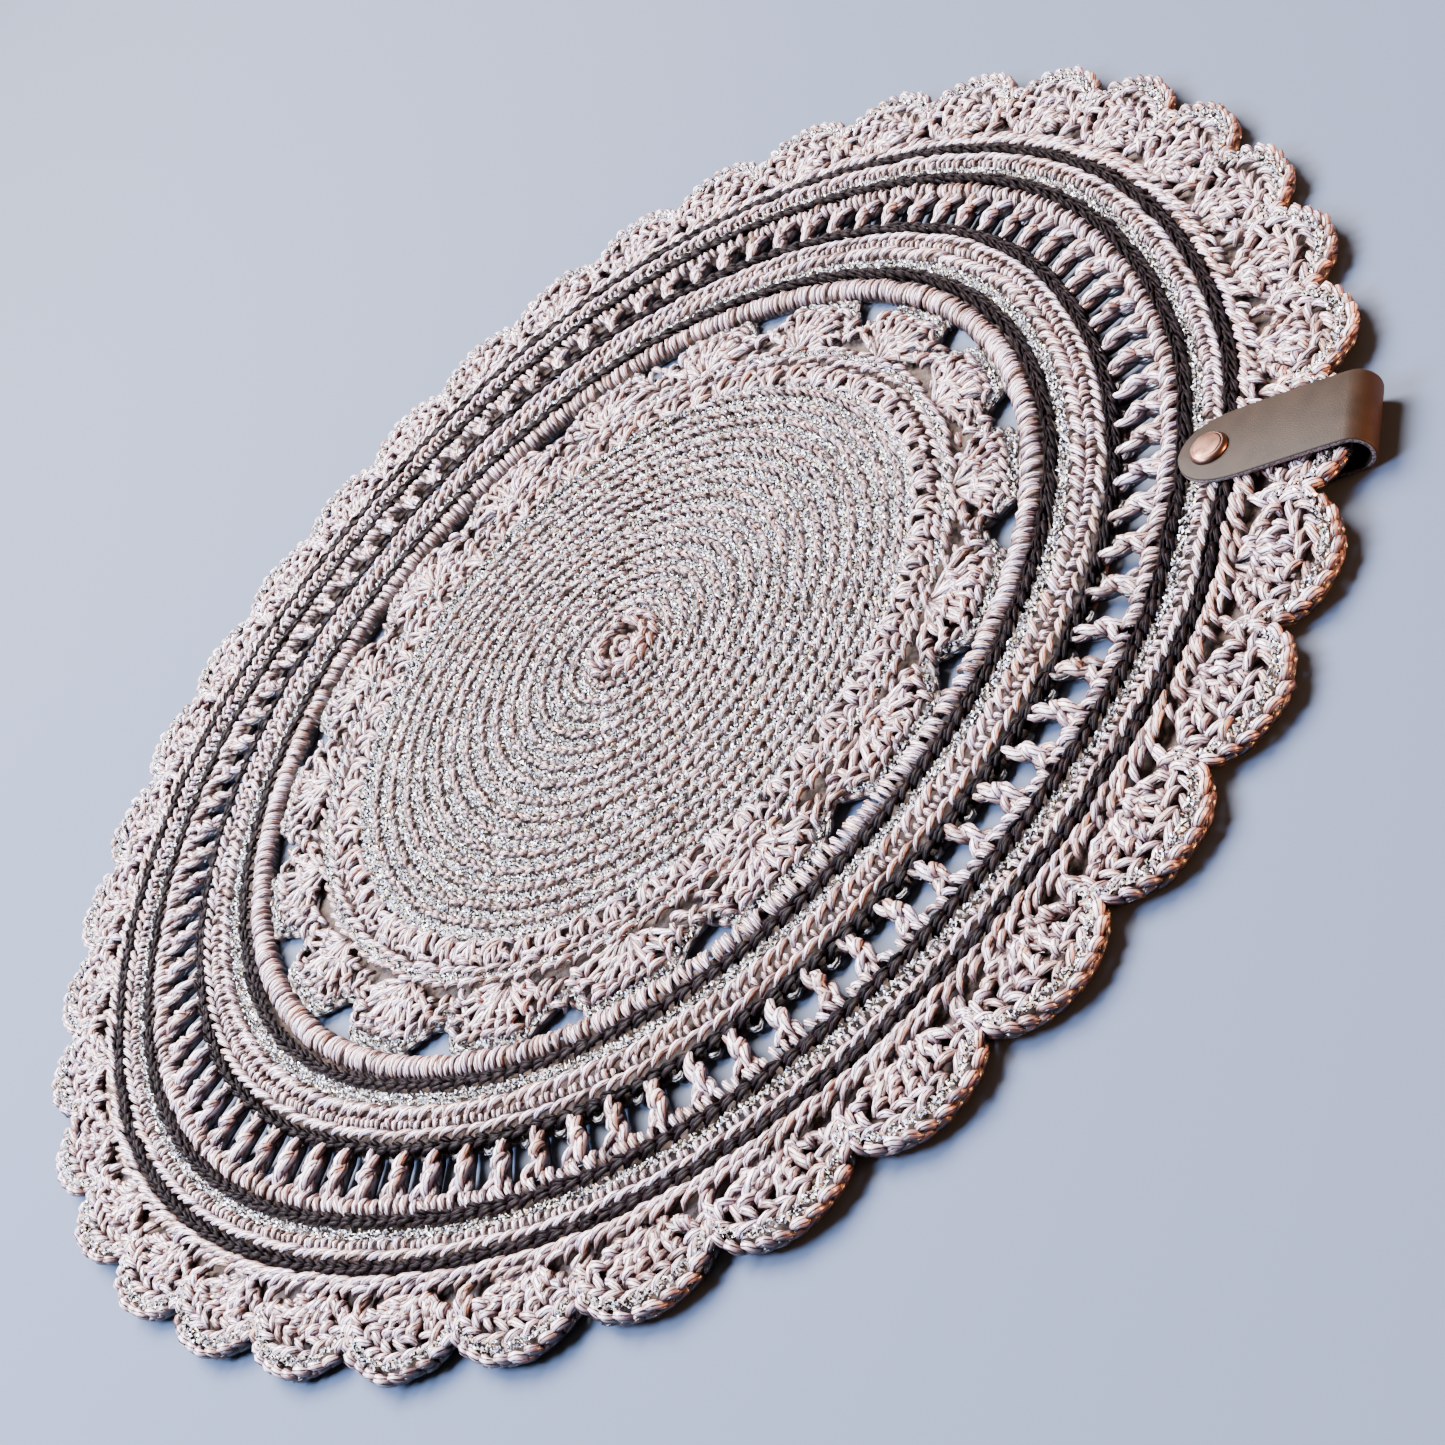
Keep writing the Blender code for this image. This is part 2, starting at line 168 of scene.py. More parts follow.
def make_cord(name, tones, dyes, groove_painted_shade, roughness, gloss, ply_depth=0.2):
    """Mercerised cotton cord. tones go from deep to light. dyes tint it from strand to strand.
    The grooves between plies are painted dark, as painted shade, and the ply crests lighter, as painted light.
    """
    cord, shader = new_material(name, roughness, Specular_IOR_Level=gloss)
    space = node(cord, "ShaderNodeAttribute", {"attribute_name": "strand_space"}).outputs["Vector"]
    tone = node(cord, "ShaderNodeAttribute", {"attribute_name": "tone"}).outputs["Fac"]
    parts = node(cord, "ShaderNodeSeparateXYZ", _0=space)
    stretch = node(cord, "ShaderNodeVectorMath", {"operation": "MULTIPLY"}, _0=space, _1=STREAKS)
    fibres = node(cord, "ShaderNodeTexNoise", Vector=stretch, Scale=1.0, Detail=2.0, Roughness=0.6)
    around = node(cord, "ShaderNodeMath", {"operation": "ARCTAN2"}, _0=parts.outputs[2], _1=parts.outputs[1])
    plies = node(cord, "ShaderNodeMath", {"operation": "MULTIPLY"}, _0=around, _1=float(PLIES))
    wavering = node(cord, "ShaderNodeMath", {"operation": "MULTIPLY_ADD"}, _0=fibres, _1=PLY_WAVER, _2=plies)
    wind = node(cord, "ShaderNodeMath", {"operation": "MULTIPLY_ADD"}, _0=parts,
                _1=PLIES * FULL_TURN / PLY_TURN, _2=wavering)
    wave = node(cord, "ShaderNodeMath", {"operation": "SINE"}, _0=wind)
    crest = node(cord, "ShaderNodeMapRange", {"interpolation_type": "SMOOTHSTEP"}, _0=wave,
                 _1=GROOVE_ENDS[0], _2=GROOVE_ENDS[1], _3=0.0, _4=1.0)
    blotch = node(cord, "ShaderNodeMath", {"operation": "MULTIPLY_ADD"}, _0=fibres, _1=FIBRE_LIGHT, _2=tone)
    lit = node(cord, "ShaderNodeMath", {"operation": "MULTIPLY_ADD"}, _0=crest, _1=CREST_PAINTED_LIGHT, _2=blotch)
    shade = node(cord, "ShaderNodeValToRGB", stops=list(zip(TONE_STOPS, tones)), _0=lit)
    along = node(cord, "ShaderNodeMath", {"operation": "MULTIPLY"}, _0=parts, _1=DYE_CHANGES)
    batch = node(cord, "ShaderNodeTexNoise", {"noise_dimensions": "1D"}, W=along, Scale=1.0, Detail=1.0)
    dye = node(cord, "ShaderNodeValToRGB", stops=list(zip(DYE_STOPS, dyes)), _0=batch)
    dyed = node(cord, "ShaderNodeMix", {"data_type": "RGBA", "blend_type": "MULTIPLY"}, _0=1.0, _6=shade, _7=dye)
    # Where the ply wave dips, the colour goes to the dark colour of the grooves: painted shade between the plies.
    grooved = node(cord, "ShaderNodeMix", {"data_type": "RGBA"}, _0=crest, _6=linear(groove_painted_shade), _7=dyed.outputs[2])
    join(grooved.outputs[2], shader, "Base Color")
    relief = node(cord, "ShaderNodeMath", {"operation": "MULTIPLY_ADD"}, _0=fibres, _1=FIBRE_HEIGHT, _2=crest)
    join(node(cord, "ShaderNodeBump", Height=relief, Strength=0.9, Distance=ply_depth * MM), shader, "Normal")
    return cord


# The last colour given to each cord is the painted shade of the grooves between its plies.
taupe_cord = make_cord("mercerised_taupe_cord", ("#150B0A", "#4E3531", "#937472", "#E8D5DB"),
                       ("#E8E0F2", "#FFF8FA", "#FAE8E0", "#E0C0A6"), "#1F130F", 0.3, 1.0)
dark_cord = make_cord("mercerised_dark_brown_cord", ("#030102", "#080405", "#0F080A", "#1A1014"),
                      ("#F0E0F0", "#FFFFFF", "#FFE8E0", "#E0C4BA"), "#030102", 0.5, 0.05)
print("Cord materials:", taupe_cord.name, dark_cord.name)


# %% [markdown]
# ## Metallic thread
# The glitter is a thin thread wound with flat metallised film. Each facet of film faces its own way, so
# it either flashes or stays dark. Cells of 0.42 mm stand for the facets, coarser than the real 0.3 mm
# film so that they show, and each cell tips the surface by its own random amount. Each cell is also
# coloured near black, grey, white, gold or pale blue at random, which paints the flashes and the dark
# facets in: painted glints and painted reflections. Cells of 0.42 mm stand for the facets, coarser than the real 0.3
# mm
# film so that they show, and each cell tips the surface by its own random amount.

# %% Thread material
FACET = 0.42
TIP = 1.1
# Painted glints: white, gold and pale blue cells stand for facets that flash, and near-black cells for facets that
# reflect nothing bright, whatever the light.
FILM_COLOURS_AND_PAINTED_GLINTS = ((0.0, "#1E1614"), (0.28, "#7C7272"), (0.42, "#FFFFFF"), (0.84, "#F2DCA6"), (0.92, "#CCD8FF"))

silver_thread, silver_shader = new_material("metallised_film_thread", 0.3, metallic=0.3)
facet_at = node(silver_thread, "ShaderNodeTexCoord").outputs["Object"]
facets = node(silver_thread, "ShaderNodeTexVoronoi", Vector=facet_at, Scale=1 / (FACET * MM)).outputs["Color"]
facet_tone = node(silver_thread, "ShaderNodeSeparateColor", _0=facets)
# Each facet cell picks one colour of the film, with the painted glints among them.
film = node(silver_thread, "ShaderNodeValToRGB", stops=FILM_COLOURS_AND_PAINTED_GLINTS, _0=facet_tone)
film.color_ramp.interpolation = "CONSTANT"
join(film, silver_shader, "Base Color")
tip = node(silver_thread, "ShaderNodeVectorMath", {"operation": "MULTIPLY_ADD"}, _0=facets, _1=(TIP, TIP, TIP),
           _2=(-TIP / 2, -TIP / 2, -TIP / 2))
face_normal = node(silver_thread, "ShaderNodeNewGeometry").outputs["Normal"]
tipped = node(silver_thread, "ShaderNodeVectorMath", {"operation": "ADD"}, _0=face_normal, _1=tip)
join(node(silver_thread, "ShaderNodeVectorMath", {"operation": "NORMALIZE"}, _0=tipped), silver_shader, "Normal")
print("Thread material:", silver_thread.name)


# %% [markdown]
# ## The lie of the cloth
#
# Crochet worked in rounds is never quite round. Each point is first given as a radius, an angle and a
# height, as if the mat were perfect. Then one function lays it as the real mat lies: a little out of
# round, with the eye off its middle, and the cloth raised over the tag's lower leg. The CAD model uses
# the same values, so strands and solids stay together, apart from the rim, which reaches farther on one
# side here, and lies lower.

# %% Sizes of the mat
TIP_RADIUS = 190.0
NOTCH_RADIUS = 178.0
SCALLOPS = 37
SCALLOP_BASE = 167.3
TAG_ANGLE = math.radians(270)
DISC_RADIUS = 81.0
DISC_ROUNDS = 17
SHELLS = 18
SHELL_BASE = 95.0
SHELL_TIP = 112.9
SHELL_NOTCH = 104.5
SHELL_TURN = math.radians(12)
SHELL_GAP_BEFORE = 0.28
SHELL_GAP_AFTER = 0.19
POSTS = 90
TRELLIS_OUTER = 146.8
CHAIN_RADII = (120.3, 135.3, 152.8, 163.0)
SWAYS = (
    {"waves": 3, "most": 1.4, "turned": 6.0},
    {"waves": 6, "most": 0.7, "turned": 24.0},
    {"waves": 2, "most": 0.6, "turned": -14.0},
)
EYE_SHIFT = (-1.2, -3.6)
SWAY_FROM, SWAY_FULL = 95.0, 150.0
EYE_HELD, EYE_FREE = 55.0, 112.0
LIFT_HALF_WIDTH, LIFT_FADES_OUT = 16.0, 34.0
LIFT_FROM, LIFT_FULL = 132.0, 148.0
RIM_FROM = 163.0
RISE_FROM = 166.0
RIM_RISE = 0.2
RIM_REACH = 2.8
RIM_REACH_TURN = math.radians(318)
RIM_DRAW = 0.7
CLOTH_THICK = 4.5
UNDER_LIFT = 2.75
FACE_LIFT = 2.0


def ease(value, start, end):
    """Goes smoothly from 0 at start to 1 at end."""
    share = np.clip((value - start) / (end - start), 0.0, 1.0)
    return share * share * (3 - 2 * share)


def lie(radius, angle, height):
    """Points of the lying cloth in millimetres, from their perfect round places."""
    wave = sum(s["most"] * np.cos(s["waves"] * (angle - math.radians(s["turned"]))) for s in SWAYS)
    off_tag = 1 - ease(np.cos(angle - TAG_ANGLE), 0.96, 0.995)
    reach = (RIM_REACH * np.cos(angle - RIM_REACH_TURN) - RIM_DRAW) * off_tag
    swayed = radius + wave * ease(radius, SWAY_FROM, SWAY_FULL) + reach * ease(radius, RIM_FROM, TIP_RADIUS)
    held = 1 - ease(radius, EYE_HELD, EYE_FREE)
    x = swayed * np.cos(angle) + EYE_SHIFT[0] * held
    y = swayed * np.sin(angle) + EYE_SHIFT[1] * held
    tagged = (1 - ease(np.abs(x), LIFT_HALF_WIDTH, LIFT_FADES_OUT)) * ease(-y, LIFT_FROM, LIFT_FULL)
    lift = UNDER_LIFT + (FACE_LIFT - UNDER_LIFT) * np.clip(height / CLOTH_THICK, 0.0, 1.0)
    rise = RIM_RISE * (1 + 0.6 * np.cos(5 * angle)) * ease(radius, RISE_FROM, TIP_RADIUS)
    z = height + lift * tagged + rise * (1 - tagged)
    return np.stack([x, y, z], axis=-1)


print("The eye lies at, in millimetres:", lie(0.0, 0.0, 0.0).round(1))


# %% [markdown]
# ## Strands
#
# A stitch is drawn once as a few points in its own small frame: along the round, outwards and up, in
# millimetres. lay() repeats it at every place of a round and shakes each copy a little, because no two
# hand-made loops match. smooth() passes a soft curve through the points, and spin() puts a tube around
# each curve. A tube narrows where the strand dives under its neighbours.

# %% From a stitch to a tube
STRAND_SHAKE = (1.0, 0.8, 0.7)  # shares of the shake along the round, outwards and up
POINT_SHAKE = 0.4


def lay(radius, angle, stitch, heading=0.0, shake=0.16):
    """Control points of one strand at each place, as radius, angle and height."""
    radius, angle, heading = np.broadcast_arrays(np.atleast_1d(radius), angle, heading)
    count = len(angle)
    drawn = np.array(stitch, float)[None] + rng.normal(0, shake, (count, 1, 3)) * STRAND_SHAKE
    drawn = drawn + rng.normal(0, POINT_SHAKE * shake, (count, len(stitch), 3))
    cos, sin = np.cos(heading)[:, None], np.sin(heading)[:, None]
    sideways = drawn[..., 0] * cos - drawn[..., 1] * sin
    outwards = drawn[..., 0] * sin + drawn[..., 1] * cos
    far = radius[:, None] + outwards
    return np.stack([far, angle[:, None] + sideways / np.maximum(far, 1.0), drawn[..., 2]], axis=-1)


def smooth(points, count):
    """A soft curve through each strand's control points, as count points."""
    spans = points.shape[1] - 1
    before = 2 * points[:, :1] - points[:, 1:2]
    after = 2 * points[:, -1:] - points[:, -2:-1]
    padded = np.concatenate([before, points, after], axis=1)
    at = np.linspace(0, spans, count)
    k = np.minimum(at.astype(int), spans - 1)
    f = (at - k)[None, :, None]
    a, b, c, d = (padded[:, k + step] for step in range(4))
    return 0.5 * (2 * b + (c - a) * f + (2 * a - 5 * b + 4 * c - d) * f ** 2 + (3 * b - a - 3 * c + d) * f ** 3)


def even(count, turn=0.0):
    """Angles of count places around a round."""
    return turn + np.arange(count) * FULL_TURN / count


# Painted shade: cord deep in the cloth is coloured darker.
# Painted light: the side of a strand that faces up is coloured lighter.
DEPTH_PAINTED_SHADE = 0.6
UPWARD_PAINTED_LIGHT = 0.22
UPWARD = np.array([0.05, 0.03, 1.0])


def unit(vectors):
    """The same directions, each one unit long."""
    return vectors / np.maximum(np.linalg.norm(vectors, axis=-1, keepdims=True), 1e-9)


def spin(points, thick, rings=6, sides=5, narrow=0.5, tone=0.0, tone_spread=0.16, face=4.3):
    """Tubes around strands given by their control points. Returns what join_strands() needs."""
    curve = smooth(points, rings)
    path = lie(curve[..., 0], curve[..., 1], curve[..., 2])
    count = len(path)
    along = unit(np.gradient(path, axis=1))
    side = np.empty_like(path)
    side[:, 0] = unit(UPWARD - along[:, 0] * (along[:, 0] @ UPWARD)[:, None])
    for k in range(1, rings):
        side[:, k] = unit(side[:, k - 1] - along[:, k] * np.sum(side[:, k - 1] * along[:, k], 1)[:, None])
    other = np.cross(along, side)
    place_on = np.linspace(-1, 1, rings)
    girth = thick * (narrow + (1 - narrow) * (1 - np.abs(place_on) ** 2.6)) * rng.uniform(0.84, 1.12, (count, 1))
    turn = np.arange(sides) * FULL_TURN / sides
    ring = np.cos(turn)[:, None] * side[:, :, None] + np.sin(turn)[:, None] * other[:, :, None]
    skin = path[:, :, None] + girth[..., None, None] * ring
    run = np.concatenate([np.zeros((count, 1)), np.cumsum(np.linalg.norm(np.diff(path, axis=1), axis=2), 1)], 1)
    run = run + rng.uniform(0, 400, (count, 1))
    space = np.stack(np.broadcast_arrays(run[..., None], np.cos(turn), np.sin(turn)), axis=-1)
    face_at = lie(curve[..., 0], curve[..., 1], face)[..., 2]
    # Painted shade below the face height and a little painted light above it, then painted light on the upward side
    # of each ring, all added to the strand's own random tone.
    low = np.clip((skin[..., 2] - face_at[..., None]) / 2.0, -1.0, 0.3)
    tones = tone + rng.normal(0, tone_spread, (count, 1, 1)) + DEPTH_PAINTED_SHADE * low + UPWARD_PAINTED_LIGHT * (ring[..., 2] - 0.5)
    grid = np.arange(count * rings * sides).reshape(count, rings, sides)
    beside = np.roll(grid, -1, axis=2)
    quads = np.stack([grid[:, :-1], beside[:, :-1], beside[:, 1:], grid[:, 1:]], axis=-1).reshape(-1, 4)
    ends = np.concatenate([grid[:, 0, ::-1], grid[:, -1]])
    return {"points": skin.reshape(-1, 3), "quads": quads, "ends": ends,
            "space": space.reshape(-1, 3), "tone": tones.reshape(-1)}


def sparks(points, thick=0.42):
    """Slivers of film: each short strand of three points gets six flat facets, which is enough for glitter."""
    path = lie(points[..., 0], points[..., 1], points[..., 2])
    start, middle, end = path[:, 0], path[:, 1], path[:, 2]
    side = unit(np.cross(unit(end - start), rng.normal(size=start.shape)))
    other = np.cross(unit(end - start), side)
    girth = thick * rng.uniform(0.7, 1.3, (len(path), 1))
    round_it = [middle + girth * (math.cos(t) * side + math.sin(t) * other) for t in even(3)]
    skin = np.stack([start, *round_it, end], axis=1).reshape(-1, 3)
    facets = np.array([[0, 2, 1], [0, 3, 2], [0, 1, 3], [4, 1, 2], [4, 2, 3], [4, 3, 1]])
    faces = (5 * np.arange(len(path))[:, None, None] + facets).reshape(-1, 3)
    return {"points": skin, "quads": faces, "ends": faces[:0], "space": 0 * skin, "tone": 0 * skin[:, 0]}


print("A tube of 6 rings and 5 sides has", 2 * 5 * 5 + 2 * 3, "triangles")

# %% From strands to one mesh
total_triangles = 0


def join_strands(name, material, slot, *families, smooth_shaded=True):
    """One mesh object from several families of strands, with their attributes."""
    global total_triangles
    points, faces, offset = [], [], 0
    for family in families:
        points.append(family["points"])
        faces += (family["quads"] + offset).tolist() + (family["ends"] + offset).tolist()
        offset += len(family["points"])
    mesh = bpy.data.meshes.new(name)
    mesh.from_pydata(np.concatenate(points) * MM, [], faces)
    space = mesh.attributes.new("strand_space", "FLOAT_VECTOR", "POINT")
    space.data.foreach_set("vector", np.concatenate([f["space"] for f in families]).astype(np.float32).ravel())
    tone = mesh.attributes.new("tone", "FLOAT", "POINT")
    tone.data.foreach_set("value", np.concatenate([f["tone"] for f in families]).astype(np.float32))
    mesh.materials.append(material)
    if smooth_shaded:
        mesh.shade_smooth()
    thing = bpy.data.objects.new(name, mesh)
    bpy.context.collection.objects.link(thing)
    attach(thing, "root")
    triangles = sum(len(face) - 2 for face in faces)
    total_triangles += triangles
    print(name, "-", triangles, "triangles, total", total_triangles)
    return thing


# %% [markdown]
# ## Middle disc
#
# The disc is single crochet worked in one spiral, 4.8 mm from turn to turn. Each stitch shows two
# strands of cord that lean like the two sides of a V, and between the ridges the metallic thread runs
# with the posts of the stitches.

# %% Disc
DISC_PITCH = DISC_RADIUS / DISC_ROUNDS
STITCH = 3.1
STITCHES_FROM = 9.5


def spiral_places(first_radius, last_radius, step):
    """Places every step millimetres along the spiral, as radius and angle."""
    angles = np.linspace(FULL_TURN * first_radius / DISC_PITCH, FULL_TURN * last_radius / DISC_PITCH, 20000)
    radii = angles / FULL_TURN * DISC_PITCH
    length = np.concatenate([[0], np.cumsum(np.diff(angles) * (radii[1:] + radii[:-1]) / 2)])
    want = np.arange(0.0, length[-1], step)
    return np.interp(want, length, radii), np.interp(want, length, angles)


disc_at = spiral_places(STITCHES_FROM, DISC_RADIUS, STITCH)
low_leg = [(-2.1, -0.8, 2.6), (-0.8, -0.65, 4.2), (0.8, -0.15, 4.7), (2.0, 0.25, 3.2)]
high_leg = [(-2.0, 0.95, 2.6), (-0.7, 0.8, 4.2), (0.8, 0.4, 4.7), (1.9, 0.05, 3.2)]
disc_legs = [spin(lay(*disc_at, leg, shake=0.24), 0.6, rings=5, sides=4, tone=-0.08) for leg in (low_leg, high_leg)]
disc_cord = join_strands("disc_cord", taupe_cord, "taupe_cord", *disc_legs)

# %% Thread on the disc
# The thread is so thin that it shows as grains of light. Four lines of them lie in the valley between two
# ridges, and a few more cross the ridge.
GRAIN = np.array([(-0.8, 0.0, -0.3), (0.0, 0.0, 0.15), (0.8, 0.0, -0.3)])
GRAIN_STEP = 1.1


def grains(radius, angle, height, heading=0.0, shake=0.28):
    """Grains of thread at each place, each turned its own way."""
    turned = heading + rng.uniform(-1.1, 1.1, np.shape(angle))
    return sparks(lay(radius, angle, GRAIN + (0, 0, height), heading=turned, shake=shake))


disc_grains = []
valley = [(0.34, 3.9, 1.15), (0.44, 3.9, 1.15), (0.56, 3.9, 1.15), (0.66, 4.0, 1.15)]
ridge = [(0.02, 4.9, 3.1)]
for share, height, step in valley + ridge:
    out, angle = spiral_places(7.2, 80.4, step)
    disc_grains.append(grains(out + share * DISC_PITCH, angle, height))
disc_thread = join_strands("disc_thread", silver_thread, "silver_thread", *disc_grains, smooth_shaded=False)

# %% Eye
EYE_LINE = 7.9
inner_ring = [(-2.3, -0.9, 4.3), (-0.7, -0.5, 5.8), (0.9, 0.1, 5.9), (2.2, 0.6, 4.6)]
outer_ring = [(-2.3, 1.2, 3.6), (-0.7, 0.8, 5.3), (0.9, 0.1, 5.6), (2.3, -0.3, 4.2)]
small_loop = [(-2.0, -0.9, 3.0), (-0.6, 0.2, 4.2), (0.9, 0.4, 4.1), (1.9, -0.4, 3.2)]
knot_loop = [(-1.9, -0.6, 2.4), (-0.6, 0.1, 3.7), (0.8, 0.3, 3.6), (1.8, -0.3, 2.5)]
eye = []
for radius, count, loop, shake, thick in ((EYE_LINE - 1.0, 13, inner_ring, 0.16, 1.0),
                                          (EYE_LINE + 1.0, 15, outer_ring, 0.16, 1.0),
                                          (3.2, 8, small_loop, 0.4, 0.8), (1.1, 5, knot_loop, 0.4, 0.8)):
    eye.append(spin(lay(radius, even(count), loop, shake=shake), thick))
eye_cord = join_strands("eye_cord", taupe_cord, "taupe_cord", *eye)


# %% [markdown]
# ## Cups and shells
#
# Round the disc stands a round of small cups, each a few strands bent like a U. Outside them the cord
# fans out into eighteen shells. A shell is a fan of tall stitches from one point, with a line of thread
# just inside its edge and loops of cord over the edge. Between two shells the table shows through.

# %% Cups
CUPS = 62
CUP_RADIUS = 86.2
LIP_RADIUS = 88.6
cup_angles = even(CUPS, 0.03)


def mirrored(stitch):
    """The same stitch the other way round."""
    return [(-side, out, up) for side, out, up in stitch]


long_petal = [(0.3, -4.2, 3.0), (-1.0, -2.4, 4.3), (-2.2, -0.2, 4.7), (-2.9, 2.6, 3.7)]
short_petal = [(0.9, -3.0, 3.6), (-0.2, -1.0, 4.8), (-0.7, 1.0, 4.9), (-1.0, 3.3, 3.9)]
cup_lip = [(1.6, 0.9, 3.7), (0.4, -0.2, 4.9), (-0.9, 0.2, 4.8), (-1.8, 1.3, 3.7)]
leaf = [(2.4, -0.8, 3.4), (0.8, -0.4, 4.7), (-1.0, 0.3, 4.8), (-2.5, 0.9, 3.5)]
cup_strands = []
for petal, thick in ((long_petal, 0.8), (short_petal, 0.74)):
    for side in (petal, mirrored(petal)):
        cup_strands.append(spin(lay(CUP_RADIUS, cup_angles, side, shake=0.4), thick, rings=7, tone=0.04))
cup_strands.append(spin(lay(LIP_RADIUS, cup_angles + 0.05, cup_lip, shake=0.4), 0.72, tone=0.08))

# Loops of cord fill the ground under the cups, some of them across the round.
for radius in (83.9, 88.4):
    loops = lay(radius, even(150, radius), leaf, heading=rng.normal(0, 0.6, 150), shake=0.5)
    cup_strands.append(spin(loops - (0, 0, 0.4), 0.76, tone=0.04))
loops = lay(86.1, even(124, 0.02), leaf, heading=rng.normal(1.2, 0.5, 124), shake=0.4)
cup_strands.append(spin(loops - (0, 0, 0.9), 0.8))
for radius, count, turn, shake in ((91.2, 150, 0.0, 0.35), (94.4, 140, 0.02, 0.4)):
    cup_strands.append(spin(lay(radius, even(count, turn), leaf, shake=shake), 0.74, tone=0.06))
print("Cups:", CUPS, "with", len(cup_strands), "families of strands")


# %% Shell outline
def shell_edge(share):
    """Radius of a shell's edge at a share of the pitch from its notch."""
    share = (share + 0.5) % 1.0 - 0.5
    off = np.where(share < 0, -share / SHELL_GAP_BEFORE, share / SHELL_GAP_AFTER)
    return SHELL_NOTCH + (SHELL_TIP - SHELL_NOTCH) * np.clip(off, 0.0, 1.0) ** 1.4


def shell_places(inset, per_shell):
    """Places along the shells' edge: radius, angle and heading of each."""
    share = np.linspace(0.0, 1.0, 600)
    rad = shell_edge(share) - inset
    across = share * FULL_TURN / SHELLS * rad
    length = np.concatenate([[0], np.cumsum(np.hypot(np.diff(across), np.diff(rad)))])
    want = (np.arange(per_shell) + 0.5) / per_shell * length[-1]
    heading = np.interp(want, length, np.arctan2(np.gradient(rad), np.gradient(across)))
    at, out = np.interp(want, length, share), np.interp(want, length, rad)
    whole = np.arange(SHELLS)[:, None]
    angle = SHELL_TURN + (whole + at) * FULL_TURN / SHELLS
    return np.tile(out, SHELLS), angle.ravel(), np.tile(heading, SHELLS)


print("Shells reach from", SHELL_NOTCH, "to", SHELL_TIP, "mm")


# %% Twined strands
cross_strand = [(-1.1, -1.3, -1.2), (-0.4, -0.6, 0.0), (0.4, 0.6, 0.1), (1.1, 1.4, -1.1)]
END_SHAKE = (1.0, 0.006, 0.6)  # shares of the shake in radius, angle and height
CROSS_SHAKE = (1.0, 0.004, 0.5)


def twined(start, end, thick, coil, turns, rings, bow=0.6, tone=0.0, shake=0.15, wraps=()):
    """Pairs of strands that wind round each other from start to end, each given as radius, angle, height.
    At each share in wraps, a short strand crosses over the pair, as a tall stitch has."""
    start = np.array(start, float) + rng.normal(0, shake, np.shape(start)) * END_SHAKE
    end = np.array(end, float) + rng.normal(0, shake, np.shape(end)) * END_SHAKE
    s = np.linspace(0, 1, rings)[None, :, None]
    middle = start[:, None] * (1 - s) + end[:, None] * s
    middle[..., 2] += bow * np.sin(np.pi * s[..., 0])
    out = end[:, 0] - start[:, 0]
    side = (end[:, 1] - start[:, 1]) * (start[:, 0] + end[:, 0]) / 2
    long = np.maximum(np.hypot(out, side), 1e-6)
    phase = rng.uniform(0, FULL_TURN, (len(start), 1))
    families = []
    lean = np.arctan2(out, side)
    for share in wraps:
        at = start * (1 - share) + end * share
        at = at + rng.normal(0, 0.2, at.shape) * CROSS_SHAKE
        knot = lay(at[:, 0], at[:, 1], cross_strand, heading=lean)
        knot[..., 2] += (at[:, 2] + bow + coil)[:, None]
        families.append(spin(knot, thick, tone=tone))
    for half in (0.0, math.pi):
        wind = turns * FULL_TURN * s[..., 0] + phase + half
        apart = coil * np.cos(wind)
        strand = middle.copy()
        strand[..., 0] += apart * (-side / long)[:, None]
        strand[..., 1] += apart * (out / long)[:, None] / middle[..., 0]
        strand[..., 2] += coil * np.sin(wind)
        families.append(spin(strand, thick, rings=rings, tone=tone))
    return families


# %% Shells
RAYS = 9
FAN_SPREAD = 0.44
FILL_LOOPS = 17
shell_centre = 0.5 * (1 + SHELL_GAP_AFTER - SHELL_GAP_BEFORE)
ray = np.linspace(-1, 1, RAYS)
ray_end = shell_edge(shell_centre + FAN_SPREAD * ray) - 3.9
starts, ends = [], []
for middle_angle in SHELL_TURN + (np.arange(SHELLS) + shell_centre) * FULL_TURN / SHELLS:
    for k in range(RAYS):
        starts.append((SHELL_BASE + 0.9 - 0.6 * abs(ray[k]), middle_angle + ray[k] * 0.016, 3.4))
        ends.append((ray_end[k], middle_angle + ray[k] * FAN_SPREAD * FULL_TURN / SHELLS, 3.4))
shell_rays = twined(starts, ends, 0.82, 0.66, 0.6, 9, bow=0.6, tone=0.06, shake=0.3, wraps=(0.42, 0.8))

edge_loop = [(-2.4, -0.9, 1.4), (-0.8, -0.2, 2.3), (0.9, 0.2, 2.2), (2.4, -0.4, 1.3)]
inner_loop = [(-2.3, 0.9, 2.9), (-0.7, 0.3, 4.1), (0.9, -0.2, 4.2), (2.2, -0.8, 3.2)]
shell_loops = []
for inset, per_shell, loop, thick, tone in ((0.7, 13, edge_loop, 0.84, -0.04), (1.5, 12, edge_loop, 0.74, 0.04),
                                           (4.7, 11, inner_loop, 0.82, 0.08)):
    out, angle, heading = shell_places(inset, per_shell)
    shell_loops.append(spin(lay(out, angle, loop, heading=heading, shake=0.3), thick, tone=tone))

# More loops cross the foot of each fan, turned every way.
fill_at = even(FILL_LOOPS * SHELLS, SHELL_TURN + 0.05)
fill_out = rng.uniform(96.5, 105.5, len(fill_at))
fill_heading = rng.uniform(-1.2, 1.2, len(fill_at))
shell_loops.append(spin(lay(fill_out, fill_at, inner_loop, heading=fill_heading, shake=0.4), 0.88, tone=0.06))
shell_cord = join_strands("shell_cord", taupe_cord, "taupe_cord", *cup_strands, *shell_rays, *shell_loops)


